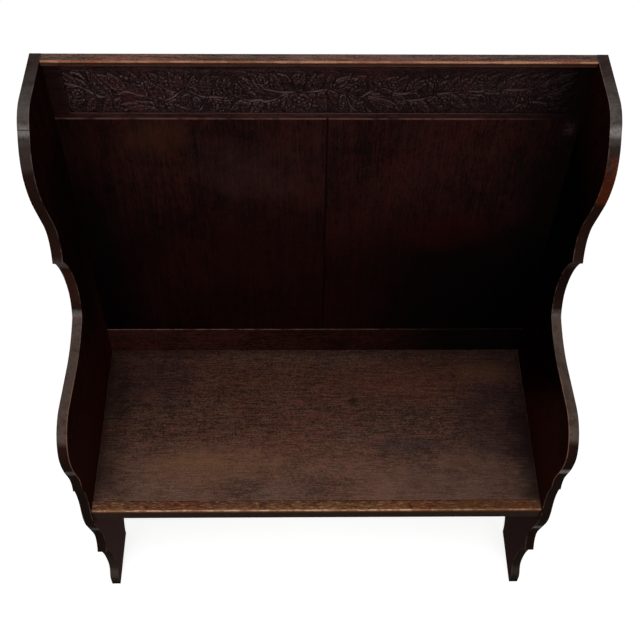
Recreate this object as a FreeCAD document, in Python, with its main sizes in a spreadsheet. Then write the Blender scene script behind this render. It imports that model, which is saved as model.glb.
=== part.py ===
import FreeCAD, Part
import math
import os

import Sketcher

# High-backed oak settle bench.
# Every piece is drawn in the YZ plane, with Y = 0 on the face of the bottom back rail,
# the front towards -Y and the floor at Z = 0, and is then carried to the middle of the plan.

SIZES = {
    # Overall sizes
    "width": (1040.0, "over both ends"),
    "height": (1354.0, "floor to the top of the ends"),
    "plank": (21.0, "thickness of each end"),
    "back_depth": (15.0, "face of the bottom rail to the rear plane"),
    "fit": (0.2, "play of a tongue or a board in its groove"),
    "housing": (6.0, "depth of the grooves cut in the ends"),
    # Outline of an end, from the top down: reach forward of the rail face, and drop or rise
    "top_reach": (104.0, "level top edge"),
    "shoulder_reach": (153.0, "end of the rounded shoulder"),
    "shoulder_drop": (21.5, "shoulder below the top"),
    "shoulder_bow": (5.6, "bow of the shoulder"),
    "slope_reach": (165.0, "end of the sloping run"),
    "slope_drop": (36.0, "end of the sloping run below the top"),
    "wing_reach": (196.5, "widest point of the wing"),
    "wing_drop": (118.0, "widest point below the top"),
    "wing_brow": (8.1, "bow of the wing above its widest point"),
    "wing_belly": (2.8, "bow of the wing below its widest point"),
    "taper_reach": (185.5, "start of the straight taper"),
    "taper_drop": (190.0, "start of the taper below the top"),
    "wing_nib_drop": (361.0, "pointed foot of the wing below the top"),
    "wing_nib_reach": (174.0, "pointed foot of the wing"),
    "wing_neck_reach": (164.0, "end of the straight taper"),
    "wing_neck_rise": (102.5, "end of the taper above the nib"),
    "wing_neck_bow": (10.5, "hollow above the nib"),
    "nib_step": (4.0, "step behind each nib"),
    "cove_reach": (128.5, "deepest point of the cove"),
    "cove_rise": (73.0, "deepest point above the arm"),
    "cove_upper_bow": (10.6, "hollow of the upper cove"),
    "cove_lower_bow": (5.8, "hollow of the lower cove"),
    "waist_reach": (151.0, "corner between cove and arm"),
    "waist_rise": (6.5, "corner above the arm"),
    "dip_reach": (263.0, "end of the hollow in the arm"),
    "dip_depth": (12.5, "end of the hollow below the arm top"),
    "dip_bow": (7.2, "hollow of the arm"),
    "arm_height": (781.0, "top of the arm"),
    "arm_run": (371.0, "end of the straight run of the arm"),
    "arm_reach": (456.0, "front of the arm"),
    "arm_front_drop": (75.0, "foremost point below the arm top"),
    "arm_nose_bow": (25.5, "bow of the arm's round nose"),
    "arm_chin_reach": (450.0, "end of the curve under the nose"),
    "arm_chin_drop": (127.0, "end of the curve below the arm top"),
    "arm_chin_bow": (1.6, "bow of the curve under the nose"),
    "arm_neck_reach": (441.0, "start of the hollow above the arm nib"),
    "arm_neck_drop": (163.0, "start of the hollow below the arm top"),
    "arm_neck_bow": (3.8, "hollow above the arm nib"),
    "arm_nib_reach": (442.5, "nib at the front of the arm"),
    "arm_nib_drop": (219.5, "nib below the arm top"),
    "knee_reach": (438.5, "top of the knee"),
    "knee_drop": (94.0, "top of the knee below the arm nib"),
    "knee_hollow": (5.3, "hollow above the knee"),
    "knee_bow": (6.0, "bow of the knee"),
    "shin_reach": (435.0, "end of the knee"),
    "shin_drop": (184.0, "end of the knee below the arm nib"),
    "spur_height": (232.5, "nib at the top of the foot"),
    "spur_reach": (430.0, "nib at the top of the foot"),
    "ankle_reach": (416.5, "start of the hollow above the spur"),
    "ankle_rise": (74.5, "start of the hollow above the spur"),
    "ankle_bow": (8.4, "hollow above the spur"),
    "foot_reach": (391.5, "deepest point of the foot's hollow"),
    "foot_height": (80.0, "deepest point of the foot's hollow"),
    "foot_bow": (8.8, "hollow of the foot"),
    "instep_reach": (402.0, "top of the toe"),
    "instep_height": (49.5, "top of the toe"),
    "instep_bow": (2.8, "hollow above the toe"),
    "toe_reach": (411.0, "front of the toe"),
    "toe_height": (28.0, "height of the toe's upright edge"),
    "toe_bow": (2.3, "bow of the toe"),
    "arch_front": (270.0, "front springing of the arch between the feet"),
    "arch_rear": (80.0, "rear springing of the arch"),
    "arch_rise": (94.0, "height of the arch"),
    # Back
    "cap_thick": (11.0, "thickness of the cap"),
    "cap_reach": (7.0, "front of the cap, forward of the rail face"),
    "cap_round": (3.2, "rounding of the cap's front arris"),
    "frieze_height": (133.0, "height of the frieze board"),
    "frieze_set": (5.0, "face of the frieze behind the rail face"),
    "frieze_left": (31.0, "plain margin left of the carved field"),
    "frieze_right": (25.0, "plain margin right of the carved field"),
    "field_top": (18.5, "plain margin above the carved field"),
    "field_foot": (12.0, "plain margin below the carved field"),
    "field_sink": (2.5, "depth of the carved field's ground"),
    "panel_set": (3.0, "face of the panels behind the rail face"),
    "panel_thick": (8.0, "thickness of the panels"),
    "panel_lip": (3.0, "thickness of the tongue on a panel's top edge"),
    "panel_tongue": (5.0, "height of the tongue on a panel's top edge"),
    "seam_offset": (16.0, "seam between the panels, right of the middle"),
    "seam_gap": (0.6, "open joint between the panels"),
    "seam_batten": (50.0, "width of the batten behind the seam"),
    "rail_show": (85.5, "bottom rail above the seat"),
    "rail_below": (50.0, "bottom rail below the top of the seat"),
    "rail_ease": (1.4, "rounding of the bottom rail's top arris"),
    "rail_groove": (7.0, "groove for the panels in the bottom rail"),
    "tongue_stop": (12.0, "end tongues and grooves stopped short of the outer edges"),
    # Seat
    "seat_height": (454.0, "top of the seat"),
    "seat_depth": (437.0, "front of the seat, forward of the rail face"),
    "seat_thick": (20.0, "thickness of the seat board"),
    "seat_play": (0.6, "gap between the seat board and each end"),
    "seat_ease": (0.7, "eased arrises at the joint with the front rail"),
    "front_rail": (27.0, "thickness of the front rail"),
    "front_height": (32.0, "height of the front rail"),
    "front_round": (7.0, "rounding of the front rail's top arris"),
    "front_foot_round": (2.0, "rounding of the front rail's lower arris"),
    "bearer_width": (20.0, "width of the bearers under the seat"),
    "bearer_height": (28.0, "height of the bearers under the seat"),
    "batten_width": (40.0, "width of the middle bearer"),
    "block_length": (50.0, "length of a glue block"),
    "block_leg": (11.0, "legs of a glue block's triangle"),
    "block_span": (660.0, "first to last glue block"),
    "block_count": (4.0, "number of glue blocks"),
    # Pegs and screws
    "peg": (6.0, "diameter of the oak pegs through the ends"),
    "peg_length": (36.0, "length of a peg"),
    "peg_proud": (0.3, "peg heads standing out of the ends"),
    "peg_play": (0.1, "play around a peg or a screw"),
    "back_peg_depth": (10.0, "pegs in the back, behind the rail face"),
    "back_peg_drop": (38.0, "upper peg below the top of its board"),
    "back_peg_pitch": (55.0, "upper to lower peg in the back"),
    "front_peg_depth": (11.0, "pegs in the front rail, behind its face"),
    "front_peg_drop": (10.0, "upper peg below the top of the seat"),
    "front_peg_pitch": (14.0, "upper to lower peg in the front rail"),
    "screw": (4.0, "diameter of a screw's shank"),
    "screw_head": (8.0, "diameter of a screw's round head"),
    "screw_dome": (2.2, "height of a screw's head"),
    "screw_bite": (9.0, "depth of a screw in the piece it holds"),
    "bearer_screw_first": (75.0, "first bearer screw, forward of the rail face"),
    "bearer_screw_pitch": (130.0, "pitch of the bearer screws"),
    "bearer_screw_drop": (14.0, "bearer screws below the seat board"),
    "ledger_screw_first": (120.0, "first ledger screw from the middle"),
    "ledger_screw_pitch": (260.0, "pitch of the ledger screws"),
}

# Each run below starts at its station and goes to the next one: the station's reach forward of
# the rail face, its height, and how the run swells ("bow") or sinks ("-bow"), or "round" for a
# quarter round of that radius. A run with neither is straight.
END_OUTLINE = (
    ("-back_depth", "height", ""),
    ("top_reach", "height", "shoulder_bow"),
    ("shoulder_reach", "height -shoulder_drop", ""),
    ("slope_reach", "height -slope_drop", "wing_brow"),
    ("wing_reach", "height -wing_drop", "wing_belly"),
    ("taper_reach", "height -taper_drop", ""),
    ("wing_neck_reach", "height -wing_nib_drop wing_neck_rise", "-wing_neck_bow"),
    ("wing_nib_reach", "height -wing_nib_drop", ""),
    ("wing_nib_reach -nib_step", "height -wing_nib_drop", "-cove_upper_bow"),
    ("cove_reach", "arm_height cove_rise", "-cove_lower_bow"),
    ("waist_reach", "arm_height waist_rise", "-dip_bow"),
    ("dip_reach", "arm_height -dip_depth", ""),
    ("arm_run", "arm_height", "arm_nose_bow"),
    ("arm_reach", "arm_height -arm_front_drop", "arm_chin_bow"),
    ("arm_chin_reach", "arm_height -arm_chin_drop", ""),
    ("arm_neck_reach", "arm_height -arm_neck_drop", "-arm_neck_bow"),
    ("arm_nib_reach", "arm_height -arm_nib_drop", ""),
    ("arm_nib_reach -nib_step", "arm_height -arm_nib_drop", "-knee_hollow"),
    ("knee_reach", "arm_height -arm_nib_drop -knee_drop", "knee_bow"),
    ("shin_reach", "arm_height -arm_nib_drop -shin_drop", ""),
    ("ankle_reach", "spur_height ankle_rise", "-ankle_bow"),
    ("spur_reach", "spur_height", ""),
    ("spur_reach -nib_step", "spur_height", "-foot_bow"),
    ("foot_reach", "foot_height", "-instep_bow"),
    ("instep_reach", "instep_height", "toe_bow"),
    ("toe_reach", "toe_height", ""),
    ("toe_reach", "", ""),
    ("arch_front", "", "-arch_rise"),
    ("arch_rear", "", ""),
    ("-back_depth", "", ""),
)

CAP_TOP = "height"
FRIEZE_TOP = "height -cap_thick"
FRIEZE_FOOT = FRIEZE_TOP + " -frieze_height"
FIELD_TOP = FRIEZE_TOP + " -field_top"
FIELD_FOOT = FRIEZE_FOOT + " field_foot"
FIELD_SIDES = ("frieze_left", "frieze_right")
RAIL_TOP = "seat_height rail_show"
RAIL_FOOT = "seat_height -rail_below"
GROOVE_FLOOR = RAIL_TOP + " -rail_groove"
PANEL_FACE = "-panel_set"
PANEL_BACK = "-panel_set -panel_thick"
SEAT_UNDER = "seat_height -seat_thick"
BOARD_FRONT = "seat_depth -front_rail"

CAP_SECTION = (
    ("-back_depth", CAP_TOP, ""),
    ("cap_reach -cap_round", CAP_TOP, "round cap_round"),
    ("cap_reach", CAP_TOP + " -cap_round", ""),
    ("cap_reach", FRIEZE_TOP, ""),
    ("-back_depth", FRIEZE_TOP, ""),
)

FRIEZE_SECTION = (
    ("-back_depth", FRIEZE_TOP, ""),
    ("-frieze_set", FRIEZE_TOP, ""),
    ("-frieze_set", FRIEZE_FOOT, ""),
    (PANEL_BACK + " panel_lip fit", FRIEZE_FOOT, ""),
    (PANEL_BACK + " panel_lip fit", FRIEZE_FOOT + " panel_tongue", ""),
    (PANEL_BACK + " -fit", FRIEZE_FOOT + " panel_tongue", ""),
    (PANEL_BACK + " -fit", FRIEZE_FOOT, ""),
    ("-back_depth", FRIEZE_FOOT, ""),
)

PANEL_SECTION = (
    (PANEL_BACK, FRIEZE_FOOT + " panel_tongue -fit", ""),
    (PANEL_BACK + " panel_lip", FRIEZE_FOOT + " panel_tongue -fit", ""),
    (PANEL_BACK + " panel_lip", FRIEZE_FOOT, ""),
    (PANEL_FACE, FRIEZE_FOOT, ""),
    (PANEL_FACE, GROOVE_FLOOR + " fit", ""),
    (PANEL_BACK, GROOVE_FLOOR + " fit", ""),
)

BOTTOM_RAIL_SECTION = (
    ("-back_depth", RAIL_TOP, ""),
    (PANEL_BACK + " -fit", RAIL_TOP, ""),
    (PANEL_BACK + " -fit", GROOVE_FLOOR, ""),
    (PANEL_FACE + " fit", GROOVE_FLOOR, ""),
    (PANEL_FACE + " fit", RAIL_TOP, ""),
    ("-rail_ease", RAIL_TOP, "round rail_ease"),
    ("", RAIL_TOP + " -rail_ease", ""),
    ("", RAIL_FOOT, ""),
    ("-back_depth", RAIL_FOOT, ""),
)

SEAT_BOARD_SECTION = (
    ("fit", "seat_height", ""),
    (BOARD_FRONT + " -seat_ease", "seat_height", ""),
    (BOARD_FRONT, "seat_height -seat_ease", ""),
    (BOARD_FRONT, SEAT_UNDER, ""),
    ("fit", SEAT_UNDER, ""),
)

FRONT_RAIL_SECTION = (
    (BOARD_FRONT + " seat_ease", "seat_height", ""),
    ("seat_depth -front_round", "seat_height", "round front_round"),
    ("seat_depth", "seat_height -front_round", ""),
    ("seat_depth", "seat_height -front_height front_foot_round", "round front_foot_round"),
    ("seat_depth -front_foot_round", "seat_height -front_height", ""),
    (BOARD_FRONT, "seat_height -front_height", ""),
    (BOARD_FRONT, "seat_height -seat_ease", ""),
)

GLUE_BLOCK_SECTION = (
    (BOARD_FRONT + " -block_leg", SEAT_UNDER, ""),
    (BOARD_FRONT, SEAT_UNDER, ""),
    (BOARD_FRONT, SEAT_UNDER + " -block_leg", ""),
)

INNER_WIDTH = "(Sizes.width - 2 * Sizes.plank)"
INNER_HALF = "(Sizes.width / 2 - Sizes.plank)"
TONGUE_WIDTH = INNER_WIDTH + " + 2 * (Sizes.housing - Sizes.fit)"
FRAME_SHIFT = "(Sizes.arm_reach - Sizes.back_depth) / 2"


def box_section(rear, front, top, foot):
    """Rectangular section between two reaches and two heights."""
    return ((rear, top, ""), (front, top, ""), (front, foot, ""), (rear, foot, ""))


def negated(terms):
    """The same sum of sizes with every sign turned."""
    turned = []
    for term in terms.split():
        turned.append(term[1:] if term.startswith("-") else "-" + term)
    return " ".join(turned)


def amount(terms):
    """Value of a sum of sizes, written as names with their signs."""
    total = 0.0
    for term in terms.split():
        if term.startswith("-"):
            total -= SIZES[term[1:]][0]
        else:
            total += SIZES[term][0]
    return total


def formula(terms):
    """The same sum as an expression on the sheet."""
    text = "0"
    for term in terms.split():
        if term.startswith("-"):
            text += " - Sizes." + term[1:]
        else:
            text += " + Sizes." + term
    return text


def make_sheet(doc):
    """Sheet of all sizes, one named cell each."""
    sheet = doc.addObject("Spreadsheet::Sheet", "Sizes")
    for row, (name, (size, note)) in enumerate(SIZES.items(), start=1):
        sheet.set("A%d" % row, name)
        sheet.set("B%d" % row, str(size))
        sheet.setAlias("B%d" % row, name)
        sheet.set("C%d" % row, note)
    doc.recompute()
    return sheet


def make_body(doc, name, across=""):
    """Empty body, moved to the middle of the plan and to its place across the bench."""
    body = doc.addObject("PartDesign::Body", name)
    body.Label = name
    body.setExpression(".Placement.Base.y", FRAME_SHIFT)
    if across:
        body.setExpression(".Placement.Base.x", across)
    return body


def make_sketch(body, plane, offset=""):
    """Sketch on one of the body's own planes, set off along the plane's normal."""
    sketch = body.newObject("Sketcher::SketchObject", body.Label + "_sketch")
    support = [feature for feature in body.Origin.OriginFeatures if feature.Role == plane]
    sketch.AttachmentSupport = [(support[0], "")]
    sketch.MapMode = "FlatFace"
    if offset:
        sketch.setExpression(".AttachmentOffset.Base.z", offset)
    return sketch


def bind(sketch, constraint, expression):
    """Add a constraint and tie its value to the sheet."""
    index = sketch.addConstraint(constraint)
    sketch.setExpression("Constraints[%d]" % index, expression)


def fix_point(sketch, geometry, position, across, up):
    """Tie a point of the sketch to the origin by two sums of sizes."""
    for kind, terms, axis in (("DistanceX", across, -2), ("DistanceY", up, -1)):
        if not terms:
            sketch.addConstraint(Sketcher.Constraint("PointOnObject", geometry, position, axis))
        elif amount(terms) >= 0:
            rule = Sketcher.Constraint(kind, -1, 1, geometry, position, amount(terms))
            bind(sketch, rule, formula(terms))
        else:
            back = negated(terms)
            rule = Sketcher.Constraint(kind, geometry, position, -1, 1, amount(back))
            bind(sketch, rule, formula(back))


def arc_through(start, end, bow):
    """Arc between two points that swells to the right of the way, and its radius."""
    chord = end - start
    outward = FreeCAD.Vector(chord.y, -chord.x, 0).normalize()
    radius = chord.Length ** 2 / (8 * abs(bow)) + abs(bow) / 2
    centre = (start + end) / 2 + outward * (bow - math.copysign(radius, bow))
    angles = []
    for point in (start, end) if bow > 0 else (end, start):
        angles.append(math.atan2(point.y - centre.y, point.x - centre.x))
    circle = Part.Circle(centre, FreeCAD.Vector(0, 0, 1), radius)
    return Part.ArcOfCircle(circle, angles[0], angles[1]), radius


def draw_run(sketch, station, following):
    """One run of an outline: returns its number and the positions of its two ends."""
    reach, rise, shape = station
    start = FreeCAD.Vector(-amount(reach), amount(rise), 0)
    end = FreeCAD.Vector(-amount(following[0]), amount(following[1]), 0)
    if not shape:
        return sketch.addGeometry(Part.LineSegment(start, end)), 1, 2
    if shape.startswith("round "):
        size = shape.split()[1]
        bow = amount(size) * (1 - math.sqrt(0.5))
        expression = formula(size)
    else:
        bow = amount(shape)
        depth = formula(shape.lstrip("-"))
        wide = "(%s) - (%s)" % (formula(following[0]), formula(reach))
        tall = "(%s) - (%s)" % (formula(following[1]), formula(rise))
        expression = "((%s)^2 + (%s)^2) / (8 * (%s)) + (%s) / 2" % (wide, tall, depth, depth)
    arc, radius = arc_through(start, end, bow)
    number = sketch.addGeometry(arc)
    bind(sketch, Sketcher.Constraint("Radius", number, radius), expression)
    if bow > 0:
        return number, 1, 2
    return number, 2, 1


def draw_outline(body, stations, offset=""):
    """Closed outline on the body's YZ plane, every station tied to the sheet."""
    sketch = make_sketch(body, "YZ_Plane", offset)
    runs = []
    for station, following in zip(stations, stations[1:] + stations[:1]):
        runs.append(draw_run(sketch, station, following))
    for (before, _, finish), (after, start, _) in zip(runs[-1:] + runs[:-1], runs):
        sketch.addConstraint(Sketcher.Constraint("Coincident", before, finish, after, start))
    for (number, start, _), (reach, rise, _) in zip(runs, stations):
        fix_point(sketch, number, start, negated(reach), rise)
    return sketch


def draw_circles(body, plane, places, diameter, offset=""):
    """Equal circles on one of the body's planes, each centre tied to the sheet."""
    sketch = make_sketch(body, plane, offset)
    for across, up in places:
        centre = FreeCAD.Vector(amount(across), amount(up), 0)
        circle = Part.Circle(centre, FreeCAD.Vector(0, 0, 1), amount(diameter) / 2)
        number = sketch.addGeometry(circle)
        fix_point(sketch, number, 3, across, up)
        rule = Sketcher.Constraint("Diameter", number, amount(diameter))
        bind(sketch, rule, formula(diameter))
    return sketch


def pad(body, sketch, length, side="Symmetric", reverse=False):
    """Grow a sketch into wood or metal, to both sides or to one."""
    feature = body.newObject("PartDesign::Pad", body.Label + "_pad")
    feature.Profile = sketch
    feature.SideType = side
    feature.Reversed = reverse
    feature.setExpression("Length", length)
    sketch.Visibility = False
    return feature


def pocket(doc, body, sketch, length="", reverse=False):
    """Cut a sketch into the body, to a depth or right through, and see that it cuts."""
    doc.recompute()
    before = body.Shape.Volume
    feature = body.newObject("PartDesign::Pocket", body.Label + "_pocket")
    feature.Profile = sketch
    feature.Reversed = reverse
    if length:
        feature.setExpression("Length", length)
    else:
        feature.Type = "ThroughAll"
    doc.recompute()
    if not body.Shape.Volume < before:
        raise ValueError("a pocket in %s cuts nothing" % body.Label)
    return feature


BACK_PEG = "back_peg_depth"
FRONT_PEG = "-seat_depth front_peg_depth"
RAIL_PEGS = (
    (BACK_PEG, RAIL_TOP + " -back_peg_drop"),
    (BACK_PEG, RAIL_TOP + " -back_peg_drop -back_peg_pitch"),
)
FRIEZE_PEGS = (
    (BACK_PEG, FRIEZE_TOP + " -back_peg_drop"),
    (BACK_PEG, FRIEZE_TOP + " -back_peg_drop -back_peg_pitch"),
)
FRONT_PEGS = (
    (FRONT_PEG, "seat_height -front_peg_drop"),
    (FRONT_PEG, "seat_height -front_peg_drop -front_peg_pitch"),
)
ALL_PEGS = RAIL_PEGS + FRIEZE_PEGS + FRONT_PEGS
BEARER_SCREW_RISE = SEAT_UNDER + " -bearer_screw_drop"
BEARER_SCREWS = (
    ("-bearer_screw_first", BEARER_SCREW_RISE),
    ("-bearer_screw_first -bearer_screw_pitch", BEARER_SCREW_RISE),
    ("-bearer_screw_first -bearer_screw_pitch -bearer_screw_pitch", BEARER_SCREW_RISE),
)
LEDGER_SCREWS = (
    ("-ledger_screw_first -ledger_screw_pitch", BEARER_SCREW_RISE),
    ("-ledger_screw_first", BEARER_SCREW_RISE),
    ("ledger_screw_first", BEARER_SCREW_RISE),
    ("ledger_screw_first ledger_screw_pitch", BEARER_SCREW_RISE),
)
SIDES = (("left", -1), ("right", 1))


def signed(side, expression):
    """The expression on the left or on the right of the middle."""
    return "%d * (%s)" % (side, expression)


def make_end(doc, name, side):
    """Scrolled end: its inner face lies on the body's YZ plane."""
    body = make_body(doc, name, signed(side, INNER_HALF))
    pad(body, draw_outline(body, END_OUTLINE), "Sizes.plank", "One side", side < 0)
    groove = box_section(
        PANEL_BACK + " -fit",
        PANEL_FACE + " fit",
        FRIEZE_TOP + " -tongue_stop fit",
        RAIL_FOOT + " tongue_stop -fit",
    )
    into = side > 0
    pocket(doc, body, draw_outline(body, groove), "Sizes.housing", into)
    pegs = draw_circles(body, "YZ_Plane", ALL_PEGS, "peg peg_play")
    pocket(doc, body, pegs, "Sizes.plank", into)
    screws = draw_circles(body, "YZ_Plane", BEARER_SCREWS, "screw")
    pocket(doc, body, screws, "Sizes.screw_bite + Sizes.peg_play", into)
    return body


def bore_ends(doc, body, places):
    """Blind holes for the pegs in both ends of a rail."""
    reach = "(%s - (Sizes.peg_length - Sizes.plank) - Sizes.peg_play)" % INNER_HALF
    for name, side in SIDES:
        circles = draw_circles(body, "YZ_Plane", places, "peg peg_play", signed(side, reach))
        pocket(doc, body, circles, "", side > 0)


def make_rail(doc, name, section, length=INNER_WIDTH):
    """Straight piece of one section across the bench."""
    body = make_body(doc, name)
    pad(body, draw_outline(body, section), length)
    return body


def make_frieze(doc):
    """Frieze board with a sunk field for the carving and a tongue at each end."""
    body = make_rail(doc, "frieze_rail", FRIEZE_SECTION)
    tongue = box_section(
        PANEL_BACK,
        "-frieze_set",
        FRIEZE_TOP + " -tongue_stop",
        FRIEZE_FOOT + " panel_tongue",
    )
    pad(body, draw_outline(body, tongue), TONGUE_WIDTH)
    field = make_sketch(body, "XZ_Plane", "-Sizes.frieze_set")
    left, right = (amount("width") / 2 - amount("plank " + name) for name in FIELD_SIDES)
    top, foot = amount(FIELD_TOP), amount(FIELD_FOOT)
    corners = ((right, top), (-left, top), (-left, foot), (right, foot))
    points = [FreeCAD.Vector(x, z, 0) for x, z in corners]
    for start, end in zip(points, points[1:] + points[:1]):
        field.addGeometry(Part.LineSegment(start, end))
    for number in range(4):
        follower = (number + 1) % 4
        field.addConstraint(Sketcher.Constraint("Coincident", number, 2, follower, 1))
    for number, kind in ((0, "Horizontal"), (1, "Vertical"), (2, "Horizontal"), (3, "Vertical")):
        field.addConstraint(Sketcher.Constraint(kind, number))
    left_reach, right_reach = ("%s - Sizes.%s" % (INNER_HALF, name) for name in FIELD_SIDES)
    bind(field, Sketcher.Constraint("DistanceX", -1, 1, 0, 1, right), right_reach)
    bind(field, Sketcher.Constraint("DistanceX", 1, 1, -1, 1, left), left_reach)
    bind(field, Sketcher.Constraint("DistanceY", -1, 1, 0, 1, top), formula(FIELD_TOP))
    bind(field, Sketcher.Constraint("DistanceY", -1, 1, 2, 1, foot), formula(FIELD_FOOT))
    pocket(doc, body, field, "Sizes.field_sink")
    bore_ends(doc, body, FRIEZE_PEGS)


def make_bottom_rail(doc):
    """Bottom back rail, grooved for the panels, with a tongue at each end."""
    body = make_rail(doc, "bottom_rail", BOTTOM_RAIL_SECTION)
    tongue = box_section(PANEL_BACK, PANEL_FACE, GROOVE_FLOOR, RAIL_FOOT + " tongue_stop")
    pad(body, draw_outline(body, tongue), TONGUE_WIDTH)
    bore_ends(doc, body, RAIL_PEGS)
    screws = draw_circles(body, "XZ_Plane", LEDGER_SCREWS, "screw")
    pocket(doc, body, screws, "Sizes.screw_bite + Sizes.peg_play")


def make_panels(doc):
    """Two back panels that meet at the seam, and the batten behind it."""
    tuck = "(%s + Sizes.housing - Sizes.fit)" % INNER_HALF
    seam_left = "(Sizes.seam_offset - Sizes.seam_gap / 2)"
    seam_right = "(Sizes.seam_offset + Sizes.seam_gap / 2)"
    left = make_body(doc, "back_panel_left", "-" + tuck)
    pad(left, draw_outline(left, PANEL_SECTION), "%s + %s" % (tuck, seam_left), "One side")
    right = make_body(doc, "back_panel_right", seam_right)
    pad(right, draw_outline(right, PANEL_SECTION), "%s - %s" % (tuck, seam_right), "One side")
    batten = make_body(doc, "seam_batten", "Sizes.seam_offset")
    section = box_section("-back_depth", PANEL_BACK, FRIEZE_FOOT, RAIL_TOP)
    pad(batten, draw_outline(batten, section), "Sizes.seam_batten")


def make_seat(doc):
    """Seat board, its front rail and the pieces that carry them."""
    make_rail(doc, "seat_board", SEAT_BOARD_SECTION, INNER_WIDTH + " - 2 * Sizes.seat_play")
    front = make_rail(doc, "seat_front_rail", FRONT_RAIL_SECTION)
    bore_ends(doc, front, FRONT_PEGS)
    under = SEAT_UNDER + " -bearer_height"
    ledger = make_rail(doc, "seat_ledger", box_section("", "bearer_width", SEAT_UNDER, under))
    pocket(doc, ledger, draw_circles(ledger, "XZ_Plane", LEDGER_SCREWS, "screw"), "", True)
    run = box_section("bearer_width", BOARD_FRONT, SEAT_UNDER, under)
    for name, side in SIDES:
        bearer = make_body(doc, "seat_bearer_" + name, signed(side, INNER_HALF))
        pad(bearer, draw_outline(bearer, run), "Sizes.bearer_width", "One side", side > 0)
        circles = draw_circles(bearer, "YZ_Plane", BEARER_SCREWS, "screw")
        pocket(doc, bearer, circles, "", side < 0)
    middle = make_body(doc, "seat_batten")
    pad(middle, draw_outline(middle, run), "Sizes.batten_width")


def make_glue_blocks(doc):
    """Row of three-cornered blocks glued behind the front rail."""
    body = make_body(doc, "glue_blocks", "-Sizes.block_span / 2")
    block = pad(body, draw_outline(body, GLUE_BLOCK_SECTION), "Sizes.block_length")
    doc.recompute()
    row = body.newObject("PartDesign::LinearPattern", "glue_blocks_row")
    row.Originals = [block]
    along = [feature for feature in body.Origin.OriginFeatures if feature.Role == "X_Axis"]
    row.Direction = (along[0], [""])
    row.setExpression("Length", "Sizes.block_span")
    row.setExpression("Occurrences", "Sizes.block_count")
    body.Tip = row


def make_pegs(doc, name, side):
    """Oak pegs driven through an end into the rails."""
    body = make_body(doc, "pegs_" + name, signed(side, "Sizes.width / 2 + Sizes.peg_proud"))
    circles = draw_circles(body, "YZ_Plane", ALL_PEGS, "peg")
    pad(body, circles, "Sizes.peg_length + Sizes.peg_proud", "One side", side > 0)


def make_screws(doc, name, plane, places, across, offset, reverse):
    """Round-headed screws: heads on the face of what they hold, shanks through it."""
    body = make_body(doc, name, across)
    shanks = draw_circles(body, plane, places, "screw", offset)
    pad(body, shanks, "Sizes.bearer_width + Sizes.screw_bite", "One side", not reverse)
    heads = draw_circles(body, plane, places, "screw_head", offset)
    pad(body, heads, "Sizes.screw_dome", "One side", reverse)


def write_steps(doc):
    """Check every object and write each sub-part to its own file."""
    doc.recompute()
    for item in doc.Objects:
        if "Invalid" in item.State or "Error" in item.State:
            raise ValueError("%s failed: %s" % (item.Name, item.State))
    os.makedirs("parts", exist_ok=True)
    for body in doc.findObjects("PartDesign::Body"):
        if body.Shape.isNull() or not body.Shape.isValid():
            raise ValueError("%s has no valid shape" % body.Label)
        body.Shape.exportStep(os.path.join("parts", body.Label + ".step"))
        print(body.Label, len(body.Shape.Solids), round(body.Shape.Volume / 1000, 1), "cm3")


def main():
    doc = FreeCAD.newDocument("settle_bench")
    make_sheet(doc)
    for name, side in SIDES:
        make_end(doc, "end_" + name, side)
        make_pegs(doc, name, side)
        make_screws(
            doc,
            "bearer_screws_" + name,
            "YZ_Plane",
            BEARER_SCREWS,
            signed(side, INNER_HALF + " - Sizes.bearer_width"),
            "",
            side > 0,
        )
    make_rail(doc, "cap_rail", CAP_SECTION)
    make_frieze(doc)
    make_panels(doc)
    make_bottom_rail(doc)
    make_seat(doc)
    make_glue_blocks(doc)
    make_screws(
        doc, "ledger_screws", "XZ_Plane", LEDGER_SCREWS, "", "Sizes.bearer_width", False
    )
    write_steps(doc)


main()
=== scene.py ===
import math

import bpy
import numpy as np
from mathutils import Matrix, Vector


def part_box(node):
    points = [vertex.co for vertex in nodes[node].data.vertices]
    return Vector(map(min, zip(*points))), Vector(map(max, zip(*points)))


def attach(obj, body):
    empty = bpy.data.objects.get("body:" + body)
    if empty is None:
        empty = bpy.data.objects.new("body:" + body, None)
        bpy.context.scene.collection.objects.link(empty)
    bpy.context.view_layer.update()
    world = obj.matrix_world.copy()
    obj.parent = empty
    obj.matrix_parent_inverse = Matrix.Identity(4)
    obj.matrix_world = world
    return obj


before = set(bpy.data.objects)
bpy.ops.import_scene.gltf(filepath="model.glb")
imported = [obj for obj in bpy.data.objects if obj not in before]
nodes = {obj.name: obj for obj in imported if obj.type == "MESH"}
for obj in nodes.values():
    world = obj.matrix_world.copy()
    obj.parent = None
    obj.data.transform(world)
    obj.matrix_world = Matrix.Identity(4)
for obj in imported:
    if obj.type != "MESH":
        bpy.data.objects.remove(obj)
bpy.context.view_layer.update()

# The frieze's sunk field, in metres
FIELD_LEFT, FIELD_RIGHT = -0.468, 0.474
FIELD_LOW, FIELD_HIGH = 1.222, 1.3245
FIELD_GROUND = 0.2280


# Colours

def linear(channel):
    """A channel from 0 to 255 as linear light from 0 to 1."""
    share = channel / 255
    return share / 12.92 if share <= 0.04045 else ((share + 0.055) / 1.055) ** 2.4


def rgb(red, green, blue):
    return (linear(red), linear(green), linear(blue), 1.0)


BLACK = rgb(1, 1, 1)
WHITE = (1.0, 1.0, 1.0, 1.0)


# Node trees

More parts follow.
